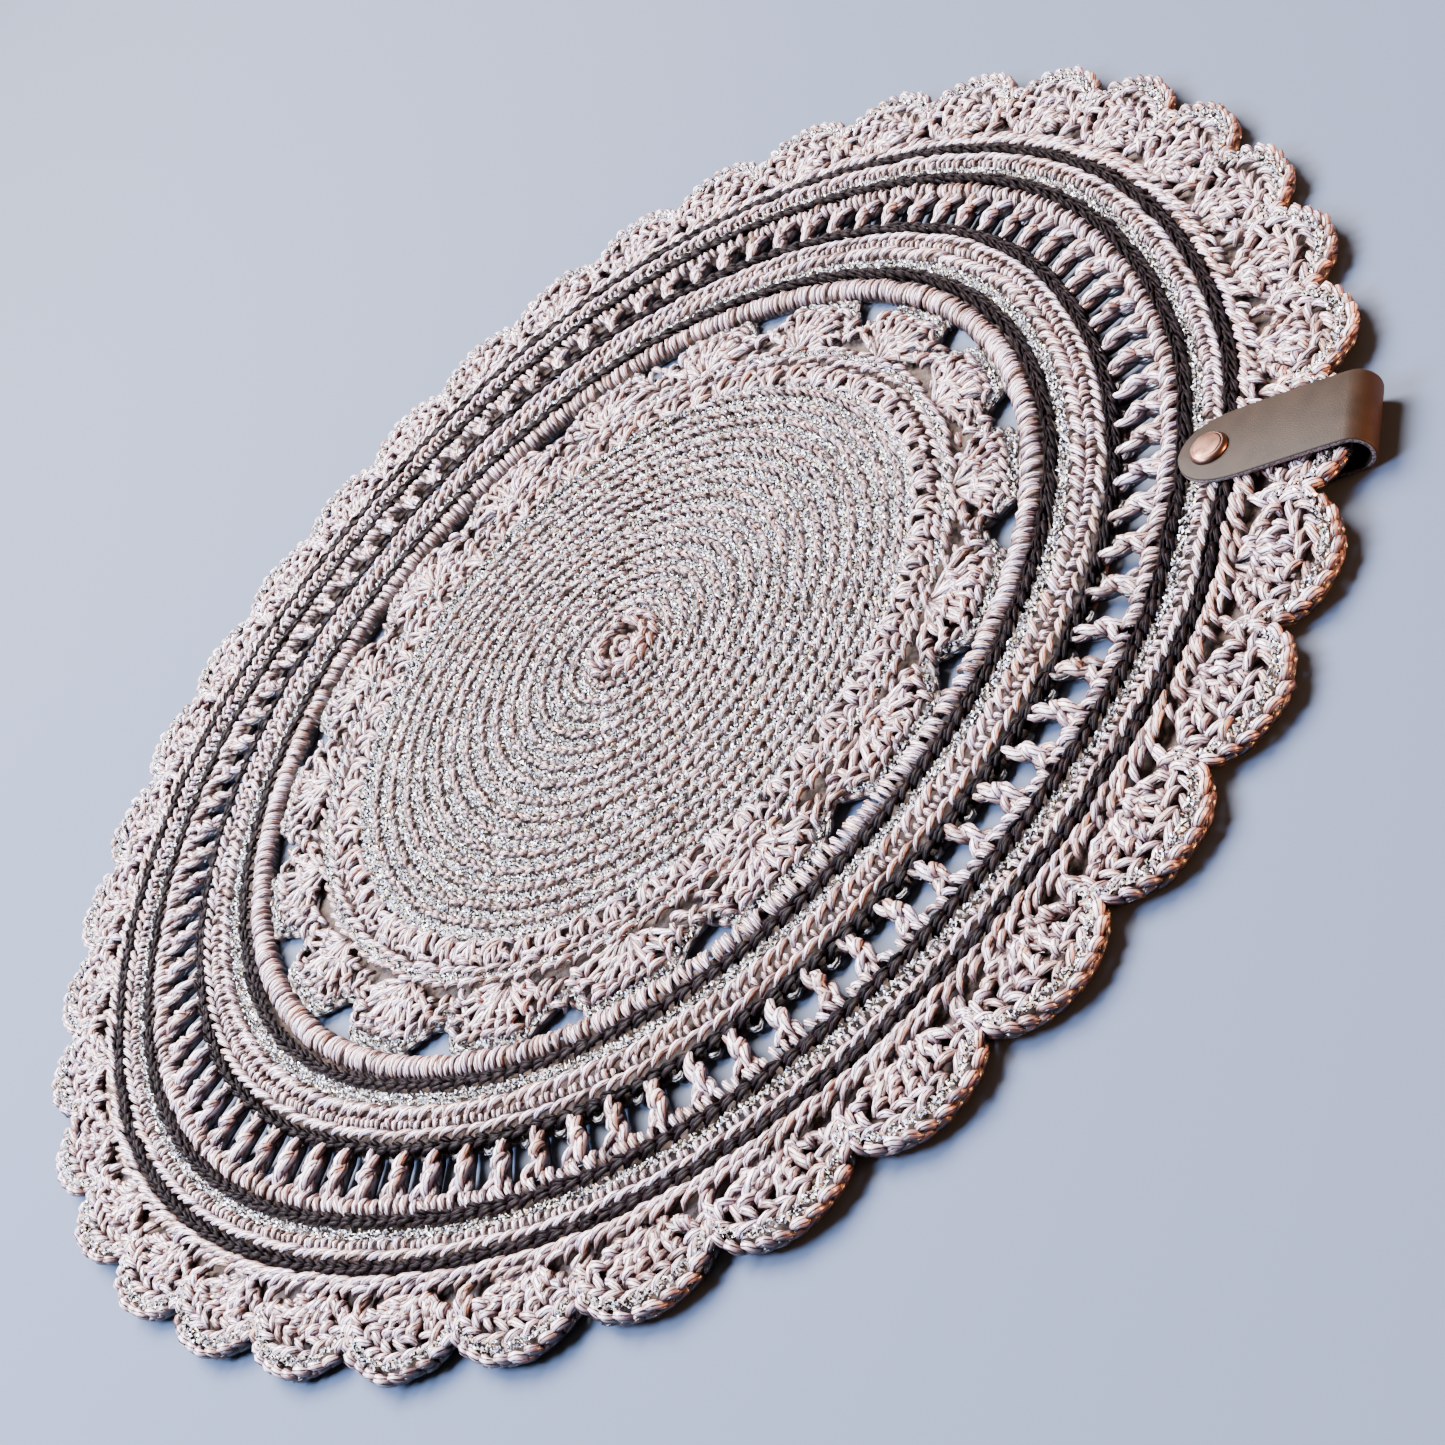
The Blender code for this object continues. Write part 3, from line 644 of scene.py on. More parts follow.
# %% [markdown]
# ## Wrapped round
#
# Inside the first dark chain the cord goes over and over a core, strand beside strand, so it stands like
# a row of small ribs.

# %% Wrapped round
WRAPS = 480
WRAPPED_RADIUS = 115.5
wrap = [(-0.1, -2.8, 1.9), (-0.05, -2.3, 4.1), (0.0, -0.4, 5.1), (0.15, 1.4, 4.8), (0.3, 2.6, 3.4)]
wrap_angles = even(WRAPS) + rng.normal(0, 0.0022, WRAPS)
wraps = lay(WRAPPED_RADIUS, wrap_angles, wrap, heading=rng.normal(0, 0.11, WRAPS), shake=0.22)
wrapped = spin(wraps, 0.74, rings=7, tone=0.08)
wrapped_cord = join_strands("wrapped_cord", taupe_cord, "taupe_cord", wrapped)


# %% [markdown]
# ## Dark chain rounds
#
# Each dark round is a row of chain stitches on top of the cloth. A chain stitch shows as a V: two legs that
# start apart, lean together and dive into the loop before them. Each leg is drawn as two plies side by
# side. The second chain has the open trellis beside it: it sinks on one side of the mat and stands a
# little proud on the other.

# %% Chains
CHAIN_STITCH = 3.7
PLY_APART = 0.34
SUNK_CHAIN = 1
SINKS_MOST_AT = math.radians(210)
for index, radius in enumerate(CHAIN_RADII):
    stitches = even(round(FULL_TURN * radius / CHAIN_STITCH))
    sunk = (-0.4 - 0.9 * np.cos(stitches - SINKS_MOST_AT)) * (index == SUNK_CHAIN)
    legs = []
    for out_side in (-1, 1):
        for ply in (-PLY_APART, PLY_APART):
            leg = np.array([(-2.9, out_side * 0.85 + ply, 3.3), (-1.2, out_side * 0.9 + ply, 4.8),
                            (0.7, out_side * 0.5 + ply, 5.4), (2.8, -out_side * 0.15 + 0.7 * ply, 4.1)])
            strand = lay(radius, stitches, leg, shake=0.22)
            strand[..., 2] += sunk[:, None]
            legs.append(spin(strand, 0.62, rings=5, sides=3, tone=0.05))
    chain = join_strands(f"chain_round_{index + 1}", dark_cord, "dark_cord", *legs)
    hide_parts(f"chain_{index + 1}")


# %% [markdown]
# ## Plain rounds between the chains
#
# Between the dark rounds the cord is worked in single crochet. Its top shows as long slanting leaves,
# its posts as short upright pairs, and the metallic thread lies beside the chain like a line of grains.

# %% Rounds of cord
long_leaf = [(2.7, -1.5, 3.3), (1.0, -0.8, 4.8), (-1.0, 0.5, 5.0), (-2.7, 1.7, 3.6)]
flat_leaf = [(2.8, -1.0, 3.6), (0.9, -0.5, 4.8), (-1.1, 0.3, 4.9), (-2.9, 1.0, 3.8)]
upright = [(-0.3, -1.5, 3.3), (-0.1, -0.1, 4.7), (0.1, 1.4, 3.9)]
rounds = [
    spin(lay(127.2, even(232), long_leaf, shake=0.25), 0.92, tone=0.08),
    spin(lay(126.6, even(232, 0.013), upright, shake=0.25), 0.7, rings=5, sides=4, tone=-0.04),
    spin(lay(130.0, even(440), upright, shake=0.25), 0.7, rings=5, sides=4, tone=0.06),
    spin(lay(132.6, even(225), flat_leaf, shake=0.2), 0.74, tone=0.16),
    spin(lay(158.0, even(500), upright, shake=0.25), 0.7, rings=5, sides=4, tone=0.06),
    spin(lay(160.3, even(278), flat_leaf, shake=0.2), 0.82, tone=0.14),
    spin(lay(165.9, even(330), flat_leaf, shake=0.3), 0.84, tone=0.1),
]
last_round = lay(167.6, even(300, 0.012), long_leaf, heading=rng.normal(0, 0.25, 300), shake=0.4)
rounds.append(spin(last_round - (0, 0, 0.4), 0.84, rings=5, tone=0.04))
round_cord = join_strands("round_cord", taupe_cord, "taupe_cord", *rounds)


# %% Rounds of thread
BAND_LINE_PITCH = 0.6


def grain_band(first, last, height):
    """Lines of grains side by side from one radius to another."""
    lines = np.linspace(first, last, max(2, round((last - first) / BAND_LINE_PITCH) + 1))
    return [grains(line, even(round(FULL_TURN * line / GRAIN_STEP), k), height) for k, line in enumerate(lines)]


bands = []
for first, last, height in ((122.5, 124.6, 4.2), (154.9, 156.4, 4.2), (92.2, 93.8, 4.3), (81.8, 82.8, 4.2)):
    bands += grain_band(first, last, height)
for inset in (1.9, 2.5, 3.1, 3.7):
    out, angle, heading = shell_places(inset, 30)
    bands.append(grains(out, angle, 3.2, heading))
round_thread = join_strands("round_thread", silver_thread, "silver_thread", *bands, smooth_shaded=False)


# %% [markdown]
# ## Trellis
#
# Ninety posts of twisted cord stand between the second and third dark rounds, with an open gap between
# each two. A post starts as a pair of strands, is knotted in its middle and then splits: one branch goes
# straight on, and one leans over to the next stitch. Behind the second chain hang the cord's back loops,
# which show brown in the shade; their cord is painted dark brown for it, as painted shade.

# %% Trellis
POSTS_TURN = -0.008
BETWEEN_POSTS = 0.033
post_at = even(POSTS, POSTS_TURN)
span = np.ones(POSTS)


def post_points(out, side, height):
    """One point of every post: its radius, its shift along the round in millimetres and its height."""
    return np.stack([out * span, post_at + side / out, height * span], axis=1)


trellis = twined(post_points(136.0, -1.0, 3.3), post_points(148.2, 2.5, 3.2), 1.34, 0.98, 1.1, 11, bow=0.4,
                 tone=0.12, wraps=(0.5,))
trellis += twined(post_points(143.2, 0.9, 3.2), post_points(148.3, -2.0, 3.3), 1.08, 0.8, 0.45, 7, bow=0.3, tone=0.1)

# Under each pair lies the rest of the post's cord.
under_post = [post_points(136.4, -0.4, 1.7), post_points(141.5, 0.6, 2.2), post_points(147.6, 2.3, 1.8)]
under_branch = [post_points(142.6, 0.6, 1.9), post_points(145.2, -0.9, 2.2), post_points(147.6, -2.0, 1.9)]
trellis.append(spin(np.stack(under_post, 1), 1.4, tone=-0.05))
trellis.append(spin(np.stack(under_branch, 1), 1.2, rings=5, tone=-0.05))

top_leaf = [(-0.9, -2.3, 2.7), (-0.4, -1.3, 4.1), (0.2, 0.4, 4.7), (0.9, 2.2, 3.4)]
back_loop = [(-1.7, -1.7, 1.9), (-0.9, 0.1, 1.7), (0.7, 0.3, 1.7), (1.7, -1.5, 2.0)]
top_round = lay(149.3, even(420), top_leaf, heading=rng.normal(0, 0.15, 420), shake=0.3)
trellis.append(spin(top_round, 0.84, tone=0.1))
# Painted shade: a tone of -0.9 colours the back loops dark brown, as if they lay in shade.
trellis.append(spin(lay(137.2, post_at + BETWEEN_POSTS, back_loop, shake=0.3), 0.9, tone=-0.9))
trellis_cord = join_strands("trellis_cord", taupe_cord, "taupe_cord", *trellis)


# %% [markdown]
# ## Scalloped rim
#
# Thirty-seven fans end the mat. In each, tall twisted stitches spread from one point and lie low, like
# the inside of a cup. A round of V stitches rises around them, then comes a line of thread, and the
# last round is worked backwards, which rolls the edge into a rope of small knobs.

# %% Places along the scallops
def scallop_places(inset, per_scallop):
    """Places along the scallops at an inset from their edge: radius, angle and heading of each."""
    t = np.linspace(math.pi, 0, 500)
    rad = NOTCH_RADIUS - inset + (TIP_RADIUS - NOTCH_RADIUS) * np.sin(t)
    across = np.cos(t) * math.pi / SCALLOPS * rad
    length = np.concatenate([[0], np.cumsum(np.hypot(np.diff(across), np.diff(rad)))])
    want = (np.arange(per_scallop) + 0.5) / per_scallop * length[-1]
    heading = np.interp(want, length, np.arctan2(np.gradient(rad), np.gradient(across)))
    out, at = np.interp(want, length, rad), np.interp(want, length, np.cos(t) / 2)
    angle = TAG_ANGLE + (np.arange(SCALLOPS)[:, None] + at) * FULL_TURN / SCALLOPS
    return np.tile(out, SCALLOPS), angle.ravel(), np.tile(heading, SCALLOPS)


def along_rim(inset, per_scallop, stitch, shake):
    """One stitch laid at every place along the scallops."""
    out, angle, heading = scallop_places(inset, per_scallop)
    return lay(out, angle, stitch, heading=heading, shake=shake)


print("Scallops:", SCALLOPS, "each", round(FULL_TURN * NOTCH_RADIUS / SCALLOPS, 1), "mm wide")

# %% Fans
FAN_STITCHES = 7
FAN_WIDTH = 0.86
starts, ends = [], []
for k in range(SCALLOPS):
    tip_angle = TAG_ANGLE + k * FULL_TURN / SCALLOPS
    for s in np.linspace(-1, 1, FAN_STITCHES):
        starts.append((SCALLOP_BASE + 0.9, tip_angle + s * 0.012, 2.6))
        reach = NOTCH_RADIUS - 8.4 + (TIP_RADIUS - NOTCH_RADIUS) * math.sqrt(1 - (FAN_WIDTH * s) ** 2)
        ends.append((reach, tip_angle + FAN_WIDTH * s * math.pi / SCALLOPS, 3.4))
fans = twined(starts, ends, 1.08, 0.84, 0.8, 9, bow=0.3, tone=0.06, shake=0.35, wraps=(0.3, 0.55, 0.8))
rim_fans = join_strands("rim_fans", taupe_cord, "taupe_cord", *fans)

# %% Edge
inner_side = [(-2.7, -1.6, 2.9), (-1.0, -0.9, 4.0), (0.9, 0.2, 4.4), (2.5, 1.3, 3.5)]
outer_side = [(-2.5, 1.2, 3.2), (-0.8, 0.7, 4.4), (0.9, -0.2, 4.6), (2.4, -1.2, 3.5)]
knob = [(-2.0, -1.1, 2.7), (-1.1, 0.0, 4.3), (0.2, 0.6, 4.5), (1.3, 0.5, 3.4), (2.1, -0.2, 2.0)]
foot = [(-2.3, -0.5, 1.4), (-0.9, 0.4, 2.5), (0.9, 0.5, 2.6), (2.3, -0.3, 1.4)]
rim = [
    spin(along_rim(8.6, 11, inner_side, shake=0.4), 0.94, tone=0.14),
    spin(along_rim(5.9, 11, outer_side, shake=0.4), 0.94, tone=0.12),
    spin(along_rim(1.7, 12, knob, shake=0.25), 1.08, rings=7, tone=0.1),
    spin(along_rim(1.7, 13, foot, shake=0.15), 1.0, rings=4, sides=4, tone=0.05),
]
rim_edge = join_strands("rim_edge", taupe_cord, "taupe_cord", *rim)

rim_grains = []
for inset in (2.9, 3.5, 4.1, 4.7):
    out, angle, heading = scallop_places(inset, 34)
    rim_grains.append(grains(out, angle, 4.9, heading))
rim_thread = join_strands("rim_thread", silver_thread, "silver_thread", *rim_grains, smooth_shaded=False)


# %% [markdown]
# ## Base cloth
# Behind the strands that the eye follows there is more cord, which only shows as a dark ground between
# them. One thin closed sheet with the same openings stands for it.
# Its face is coloured dark brown, mottled in tufts of about a millimetre: painted shade for the cord
# that lies in shade there. Its back is the wrong side of single crochet: rounds of small bumps, drawn
# in the material, coloured dark in the hollows between them as painted shade and light on their crowns
# as painted light. Its face is matted cord in the shade, mottled in tufts of about a
# millimetre. Its back is the wrong side of single crochet: rounds of small bumps, drawn in the material.

# %% Ground of cord, painted dark as shade
TUFT = 1.111  # millimetres, as are the sizes of the patterns below
ground_painted_shade, ground_painted_shade_shader = new_material("cord_ground_painted_as_shade", 0.85)
ground_at = node(ground_painted_shade, "ShaderNodeTexCoord").outputs["Object"]
tufts = node(ground_painted_shade, "ShaderNodeTexNoise", Vector=ground_at, Scale=1 / (TUFT * MM), Detail=3.0)
# Painted shade: the ground is coloured near-black to dark brown, darker than the cord's own colour, because the cord
# there lies in shade. The tufts only mottle it.
join(node(ground_painted_shade, "ShaderNodeValToRGB", stops=((0.3, "#251914"), (0.7, "#503E34")), _0=tufts),
     ground_painted_shade_shader, "Base Color")
join(node(ground_painted_shade, "ShaderNodeBump", Height=tufts, Strength=0.8, Distance=0.5 * MM), ground_painted_shade_shader, "Normal")
print("Ground material:", ground_painted_shade.name)

# %% Wrong side of the crochet
BACK_ROUND = 4.8
BACK_STITCH = 3.1
BACK_BEND = 3.85
BACK_STREAK = 0.667
back_cord, back_shader = new_material("cord_on_the_wrong_side", 0.6, Specular_IOR_Level=0.3)
back_at = node(back_cord, "ShaderNodeTexCoord").outputs["Object"]
uneven = node(back_cord, "ShaderNodeTexNoise", Vector=back_at, Scale=1 / (BACK_BEND * MM), Detail=1.0)
streaks = node(back_cord, "ShaderNodeTexNoise", Vector=back_at, Scale=1 / (BACK_STREAK * MM), Detail=3.0)
flat = node(back_cord, "ShaderNodeVectorMath", {"operation": "MULTIPLY"}, _0=back_at, _1=(1.0, 1.0, 0.0))
across = node(back_cord, "ShaderNodeSeparateXYZ", _0=flat)
from_middle = node(back_cord, "ShaderNodeVectorMath", {"operation": "LENGTH"}, _0=flat).outputs["Value"]
bent = node(back_cord, "ShaderNodeMath", {"operation": "MULTIPLY"}, _0=uneven, _1=0.7)
rounds_out = node(back_cord, "ShaderNodeMath", {"operation": "MULTIPLY_ADD"}, _0=from_middle,
                  _1=1 / (BACK_ROUND * MM), _2=bent)

# Each round has a whole number of stitches, and each stitch leans.
round_number = node(back_cord, "ShaderNodeMath", {"operation": "FLOOR"}, _0=rounds_out)
round_middle = node(back_cord, "ShaderNodeMath", {"operation": "ADD"}, _0=round_number, _1=0.5)
full_round = node(back_cord, "ShaderNodeMath", {"operation": "MULTIPLY"}, _0=round_middle,
                  _1=FULL_TURN * BACK_ROUND / BACK_STITCH)
whole_stitches = node(back_cord, "ShaderNodeMath", {"operation": "ROUND"}, _0=full_round)
direction = node(back_cord, "ShaderNodeMath", {"operation": "ARCTAN2"}, _0=across.outputs[1], _1=across.outputs[0])
share_round = node(back_cord, "ShaderNodeMath", {"operation": "MULTIPLY"}, _0=direction, _1=1 / FULL_TURN)
into_round = node(back_cord, "ShaderNodeMath", {"operation": "FRACT"}, _0=rounds_out)
leaning = node(back_cord, "ShaderNodeMath", {"operation": "MULTIPLY_ADD"}, _0=uneven, _1=1.6, _2=into_round)
stitches_round = node(back_cord, "ShaderNodeMath", {"operation": "MULTIPLY_ADD"}, _0=share_round, _1=whole_stitches,
                      _2=leaning)

# A bump is highest in the middle of its stitch, and streaked with fibres. Its colour follows its height:
# dark in the hollows as painted shade, light on the crown as painted light.
high_across = node(back_cord, "ShaderNodeMath", {"operation": "PINGPONG"}, _0=rounds_out, _1=0.5)
high_along = node(back_cord, "ShaderNodeMath", {"operation": "PINGPONG"}, _0=stitches_round, _1=0.5)
mound = node(back_cord, "ShaderNodeMath", {"operation": "MULTIPLY"}, _0=high_across, _1=high_along)
dome = node(back_cord, "ShaderNodeMath", {"operation": "SQRT"}, _0=mound)
back_high = node(back_cord, "ShaderNodeMath", {"operation": "MULTIPLY_ADD"}, _0=streaks, _1=0.25, _2=dome)
# Painted shade in the hollows between bumps and painted light on their crowns.
back_tone_painted_shade = node(back_cord, "ShaderNodeValToRGB", stops=((0.22, "#2A1B16"), (0.42, "#745C55"), (0.62, "#C0AAA6")),
                 _0=back_high)
join(back_tone_painted_shade, back_shader, "Base Color")
join(node(back_cord, "ShaderNodeBump", Height=back_high, Strength=1.0, Distance=1.6 * MM), back_shader, "Normal")
print("Back material:", back_cord.name)

# %% Sheet
FACE_HEIGHT = 1.8
BACK_HEIGHT = 0.8


def band(angles, rows, points, faces):
    """A closed flat band between its first and last row. A row gives its radius at every angle."""
    columns = len(angles)
    first = len(points)
    for height in (FACE_HEIGHT, BACK_HEIGHT):
        for radii in rows:
            points += list(lie(np.broadcast_to(radii, columns), angles, np.full(columns, height)))
    depth = len(rows)

    def at(side, row, column):
        return first + (side * depth + row) * columns + column % columns

    for c in range(columns):
        for r in range(depth - 1):
            faces.append([at(0, r, c), at(0, r + 1, c), at(0, r + 1, c + 1), at(0, r, c + 1)])
            faces.append([at(1, r, c), at(1, r, c + 1), at(1, r + 1, c + 1), at(1, r + 1, c)])
        last = depth - 1
        faces.append([at(0, last, c), at(1, last, c), at(1, last, c + 1), at(0, last, c + 1)])
        faces.append([at(0, 0, c), at(0, 0, c + 1), at(1, 0, c + 1), at(1, 0, c)])


cloth_points, cloth_faces = [], []
PER_SHELL = 20
PER_SCALLOP = 16
shell_rim = shell_edge(np.arange(SHELLS * PER_SHELL) / PER_SHELL) - 1.6
inner_rows = [0.4, 30.0, 55.0, 75.0, 92.0, 0.5 * (92.0 + shell_rim), shell_rim]
band(even(SHELLS * PER_SHELL, SHELL_TURN), inner_rows, cloth_points, cloth_faces)
band(even(360), [SHELL_TIP + 0.6, 125.0, 136.6], cloth_points, cloth_faces)
off_tip = np.abs((np.arange(SCALLOPS * PER_SCALLOP) / PER_SCALLOP + 0.5) % 1.0 - 0.5) * 2
scallop_rim = NOTCH_RADIUS - 2.0 + (TIP_RADIUS - NOTCH_RADIUS) * np.sqrt(1 - off_tip ** 2)
outer_rows = [TRELLIS_OUTER + 0.4, RIM_FROM, 170.0, scallop_rim]
band(even(SCALLOPS * PER_SCALLOP, TAG_ANGLE), outer_rows, cloth_points, cloth_faces)
cloth_mesh = bpy.data.meshes.new("base_cloth")
cloth_mesh.from_pydata(np.array(cloth_points) * MM, [], cloth_faces)
cloth_mesh.materials.append(ground_painted_shade)
cloth_mesh.materials.append(back_cord)
for face in cloth_mesh.polygons:
    face.material_index = 1 if face.normal.z < -0.5 else 0
base_cloth = bpy.data.objects.new("base_cloth", cloth_mesh)
bpy.context.collection.objects.link(base_cloth)
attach(base_cloth, "root")
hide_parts("mat")
print("base_cloth -", len(cloth_faces) * 2, "triangles")


# %% [markdown]
# ## Leather tag
#
# A strip of vegetable-tanned leather, 1.3 mm thick, is folded round the rim and riveted through the cloth. Its
# face is finished with wax, so it has a satin shine over a fine grain. Its edges were cut and left raw, so
# the paler fibres of the flesh show there.

# %% Leather
CLOUD = 5.88  # patches where the tan took more or less
PORE = 0.455
CUT_FIBRE = 0.417
leather, leather_shader = new_material("waxed_taupe_leather", 0.5, Specular_IOR_Level=0.1)
leather_at = node(leather, "ShaderNodeTexCoord").outputs["Object"]
clouds = node(leather, "ShaderNodeTexNoise", Vector=leather_at, Scale=1 / (CLOUD * MM), Detail=4.0)
join(node(leather, "ShaderNodeValToRGB", stops=((0.3, "#1B130C"), (0.72, "#291E16")), _0=clouds),
     leather_shader, "Base Color")
pores = node(leather, "ShaderNodeTexVoronoi", {"feature": "DISTANCE_TO_EDGE"}, Vector=leather_at,
             Scale=1 / (PORE * MM)).outputs["Distance"]
grain = node(leather, "ShaderNodeMapRange", _0=pores, _1=0.0, _2=0.25, _3=0.0, _4=1.0)
join(node(leather, "ShaderNodeBump", Height=grain, Strength=0.35, Distance=0.05 * MM), leather_shader, "Normal")

raw_edge, raw_edge_shader = new_material("raw_cut_leather_edge", 0.85)
edge_at = node(raw_edge, "ShaderNodeTexCoord").outputs["Object"]
fuzz = node(raw_edge, "ShaderNodeTexNoise", Vector=edge_at, Scale=1 / (CUT_FIBRE * MM), Detail=2.0)
join(node(raw_edge, "ShaderNodeValToRGB", stops=((0.38, "#241C1A"), (0.62, "#6B5E5C")), _0=fuzz),
     raw_edge_shader, "Base Color")
join(node(raw_edge, "ShaderNodeBump", Height=fuzz, Strength=1.0, Distance=0.15 * MM), raw_edge_shader, "Normal")
print("Leather materials:", leather.name, raw_edge.name)

# %% Tag
TAG_HALF_WIDTH = 9.4
TAG_THICKNESS = 1.3
TAG_END = 153.4
TAG_TAPER = 18.0
TAG_BLUNTNESS = 3.4
TAG_UPPER_Z = 8.15
TAG_LOWER_Z = 1.75
TAG_SPREAD_FROM = 160.0
LOOP_OUT, LOOP_Z = 188.7, 4.9
LOOP_RADIUS = 4.05
TAG_ASIDE = 0.5

leg_out = TAG_END + (LOOP_OUT - TAG_END) * np.linspace(0, 1, 24)[:-1] ** 1.7
leg_share = ease(leg_out, TAG_SPREAD_FROM, LOOP_OUT)
bend = np.radians(np.linspace(90, -90, 25))
tag_out = np.concatenate([leg_out, LOOP_OUT + LOOP_RADIUS * np.cos(bend), leg_out[::-1]])
tag_z = np.concatenate([TAG_UPPER_Z + (LOOP_Z + LOOP_RADIUS - TAG_UPPER_Z) * leg_share,
                        LOOP_Z + LOOP_RADIUS * np.sin(bend),
                        (TAG_LOWER_Z + (LOOP_Z - LOOP_RADIUS - TAG_LOWER_Z) * leg_share)[::-1]])
tag_path = np.stack([tag_out, tag_z], axis=-1)
tag_along = unit(np.gradient(tag_path, axis=0))
tag_normal = np.stack([-tag_along[:, 1], tag_along[:, 0]], axis=-1)
from_end = np.clip((tag_out - TAG_END) / TAG_TAPER, 0.0, 1.0)
half_width = np.maximum(1.0, TAG_HALF_WIDTH * np.sqrt(1 - (1 - from_end) ** TAG_BLUNTNESS))

# The cross-section, as the side, how far in from the edge and how high, with softly rounded corners. Two of
# its sides are the raw cuts.
corner = [(0.5, 0.5), (0.16, 0.43), (0.03, 0.28), (0.03, -0.28), (0.16, -0.43), (0.5, -0.5)]
section = [(0, 0.0, 0.5)] + [(1, *c) for c in corner] + [(0, 0.0, -0.5)] + [(-1, *c) for c in corner[::-1]]
RAW_CUTS = (3, 10)
tag_points, tag_faces, tag_finish = [], [], []
for (out, z), normal, half in zip(tag_path, tag_normal, half_width):
    for side, inset, level in section:
        high = level * TAG_THICKNESS
        tag_points.append((TAG_ASIDE + side * (half - inset), -(out + normal[0] * high), z + normal[1] * high))
wide = len(section)
for row in range(len(tag_path) - 1):
    for k in range(wide):
        m = (k + 1) % wide
        tag_faces.append([row * wide + k, row * wide + m, (row + 1) * wide + m, (row + 1) * wide + k])
        tag_finish.append(1 if k in RAW_CUTS else 0)
tag_faces += [list(range(wide))[::-1], [(len(tag_path) - 1) * wide + k for k in range(wide)]]
tag_finish += [1, 1]


def solid_mesh(name, points, faces, materials, stands_for, finish=None):
    """A smooth-shaded mesh of points in millimetres that stands for one node of the CAD model."""
    mesh = bpy.data.meshes.new(name)
    mesh.from_pydata(np.array(points) * MM, [], faces)
    for material in materials:
        mesh.materials.append(material)
    if finish is not None:
        mesh.polygons.foreach_set("material_index", finish)
    mesh.shade_smooth()
    mesh.validate()
    thing = bpy.data.objects.new(name, mesh)
    bpy.context.collection.objects.link(thing)
    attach(thing, "root")
    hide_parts(stands_for)
    print(name, "-", sum(len(face) - 2 for face in faces), "triangles")
    return thing


solid_mesh("folded_tag", tag_points, tag_faces, [leather, raw_edge], "leather_tag", tag_finish)


# %% [markdown]
# ## Rivet
#
# The cap is pressed from brass sheet and plated with copper, then tumbled, which leaves a soft shine. A
# flat face sits inside a narrow bevelled rim. The back of the rivet under the strip is a plain washer.

# %% Copper
TARNISH_SPOT = 2.38
copper, copper_shader = new_material("tumbled_copper_plate", 0.34, metallic=1.0)
copper_at = node(copper, "ShaderNodeTexCoord").outputs["Object"]
tarnish = node(copper, "ShaderNodeTexNoise", Vector=copper_at, Scale=1 / (TARNISH_SPOT * MM), Detail=4.0)
join(node(copper, "ShaderNodeValToRGB", stops=((0.32, "#4A3229"), (0.66, "#7C5C50")), _0=tarnish),
     copper_shader, "Base Color")
join(node(copper, "ShaderNodeMapRange", _0=tarnish, _1=0.35, _2=0.7, _3=0.42, _4=0.28), copper_shader, "Roughness")
print("Rivet material:", copper.name)

# %% Rivet
RIVET_OUT = 160.2
RIVET_SIDES = 48
AXIS_HOLE = 0.02
rivet_profile = [(0.0, 10.1), (2.8, 10.1), (3.05, 10.06), (3.15, 9.96), (3.28, 9.96), (3.4, 9.98), (3.9, 9.5),
                 (4.12, 9.15), (4.14, 8.9), (4.0, 8.72), (1.5, 8.7), (1.5, 1.1), (4.0, 1.08), (4.1, 0.9),
                 (4.1, 0.45), (3.8, 0.2), (0.0, 0.2)]
rivet_points, rivet_faces = [], []
for radius, z in rivet_profile:
    radius = max(radius, AXIS_HOLE)
    for turn in even(RIVET_SIDES):
        rivet_points.append((TAG_ASIDE + radius * math.cos(turn), -RIVET_OUT + radius * math.sin(turn), z))
for row in range(len(rivet_profile) - 1):
    for k in range(RIVET_SIDES):
        m = (k + 1) % RIVET_SIDES
        first, second = row * RIVET_SIDES, (row + 1) * RIVET_SIDES
        rivet_faces.append([first + k, second + k, second + m, first + m])
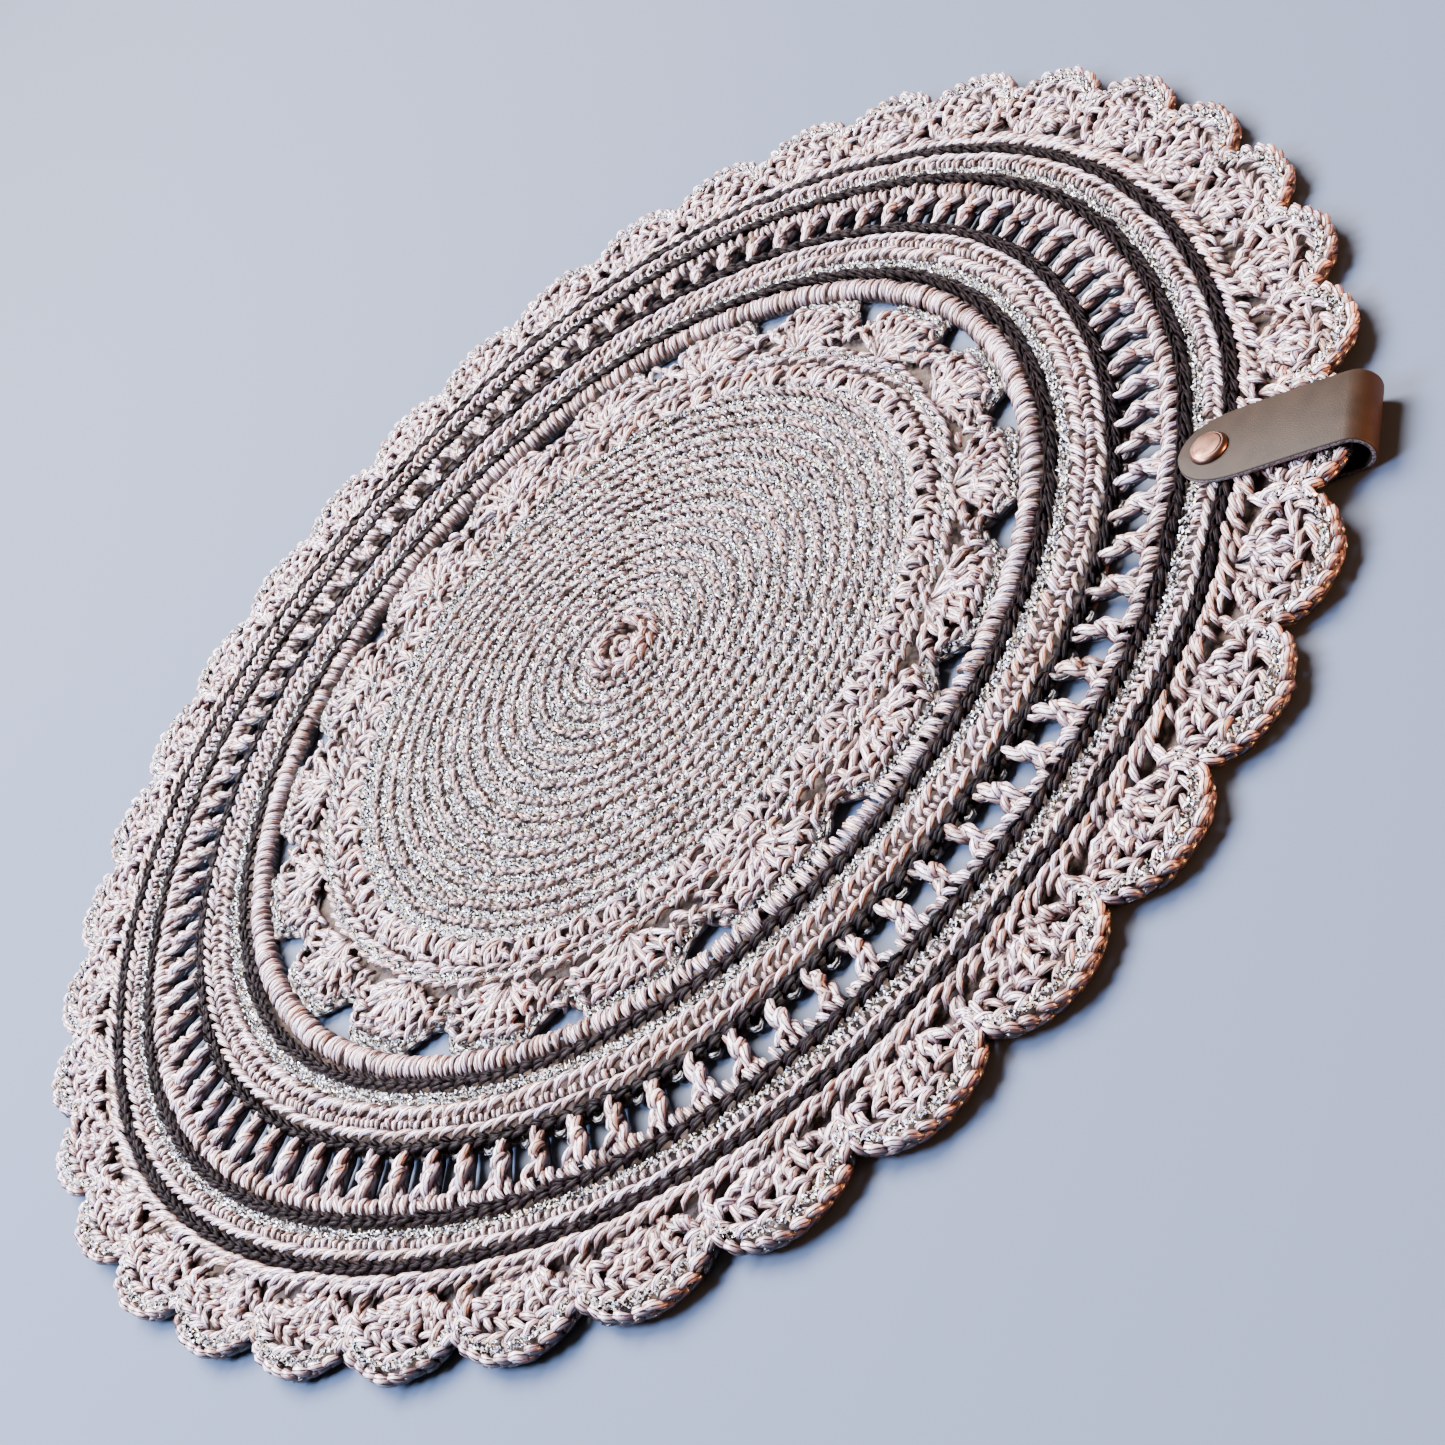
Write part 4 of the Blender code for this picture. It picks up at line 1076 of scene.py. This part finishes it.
rivet_faces += [list(range(RIVET_SIDES)), list(range(len(rivet_points) - RIVET_SIDES, len(rivet_points)))[::-1]]
solid_mesh("rivet_cap_and_back", rivet_points, rivet_faces, [copper], "rivet")


# %% [markdown]
# ## Table and light
#
# The mat lies on a pale bluish tabletop of matt laminate, which is pressed with a fine texture, so it
# spreads the light evenly and mirrors nothing. Two soft windows light the mat, as the two shadows of the
# tag show: a cool one on the eye's left and a whiter, wider one at the far side. Where both are shut off,
# only a little warm light from the room is left, so the sides of the cord that face it look golden brown.

# %% Floor
tabletop, tabletop_shader = new_material("matt_pale_laminate", 0.7, Specular_IOR_Level=0.1)
tabletop_shader.inputs["Base Color"].default_value = linear("#4F5869")
bpy.ops.mesh.primitive_plane_add(size=6.0, location=(0, 0, 0))
floor = bpy.context.object
floor.name = "floor"
floor.data.materials.append(tabletop)
print("Table:", tabletop.name)

# %% Lights
def lamp(name, azimuth, elevation, distance, size, power, colour):
    """A round soft lamp that faces the mat from a direction given in degrees."""
    data = bpy.data.lights.new(name, "AREA")
    data.shape = "DISK"
    data.size = size
    data.energy = power
    data.color = linear(colour)[:3]
    thing = bpy.data.objects.new(name, data)
    a, e = math.radians(azimuth), math.radians(elevation)
    at = Vector((math.cos(a) * math.cos(e), math.sin(a) * math.cos(e), math.sin(e))) * distance
    thing.matrix_world = Matrix.Translation(at) @ (-at).to_track_quat("-Z", "Y").to_matrix().to_4x4()
    bpy.context.collection.objects.link(thing)
    print(name, "-", power, "W, at", [round(c, 2) for c in at], "m")


lamp("cool_window", 131.0, 52.0, 0.85, 0.4, 36.0, "#C6DAFF")
lamp("white_window", 57.0, 53.0, 2.0, 1.5, 385.0, "#FFF6F2")
lamp("warm_room", -88.0, 2.5, 0.75, 0.12, 16.0, "#FFAA64")
world = bpy.data.worlds.new("room")
world.use_nodes = True
world.node_tree.nodes["Background"].inputs["Color"].default_value = linear("#E3C9B4")
world.node_tree.nodes["Background"].inputs["Strength"].default_value = 0.26
bpy.context.scene.world = world
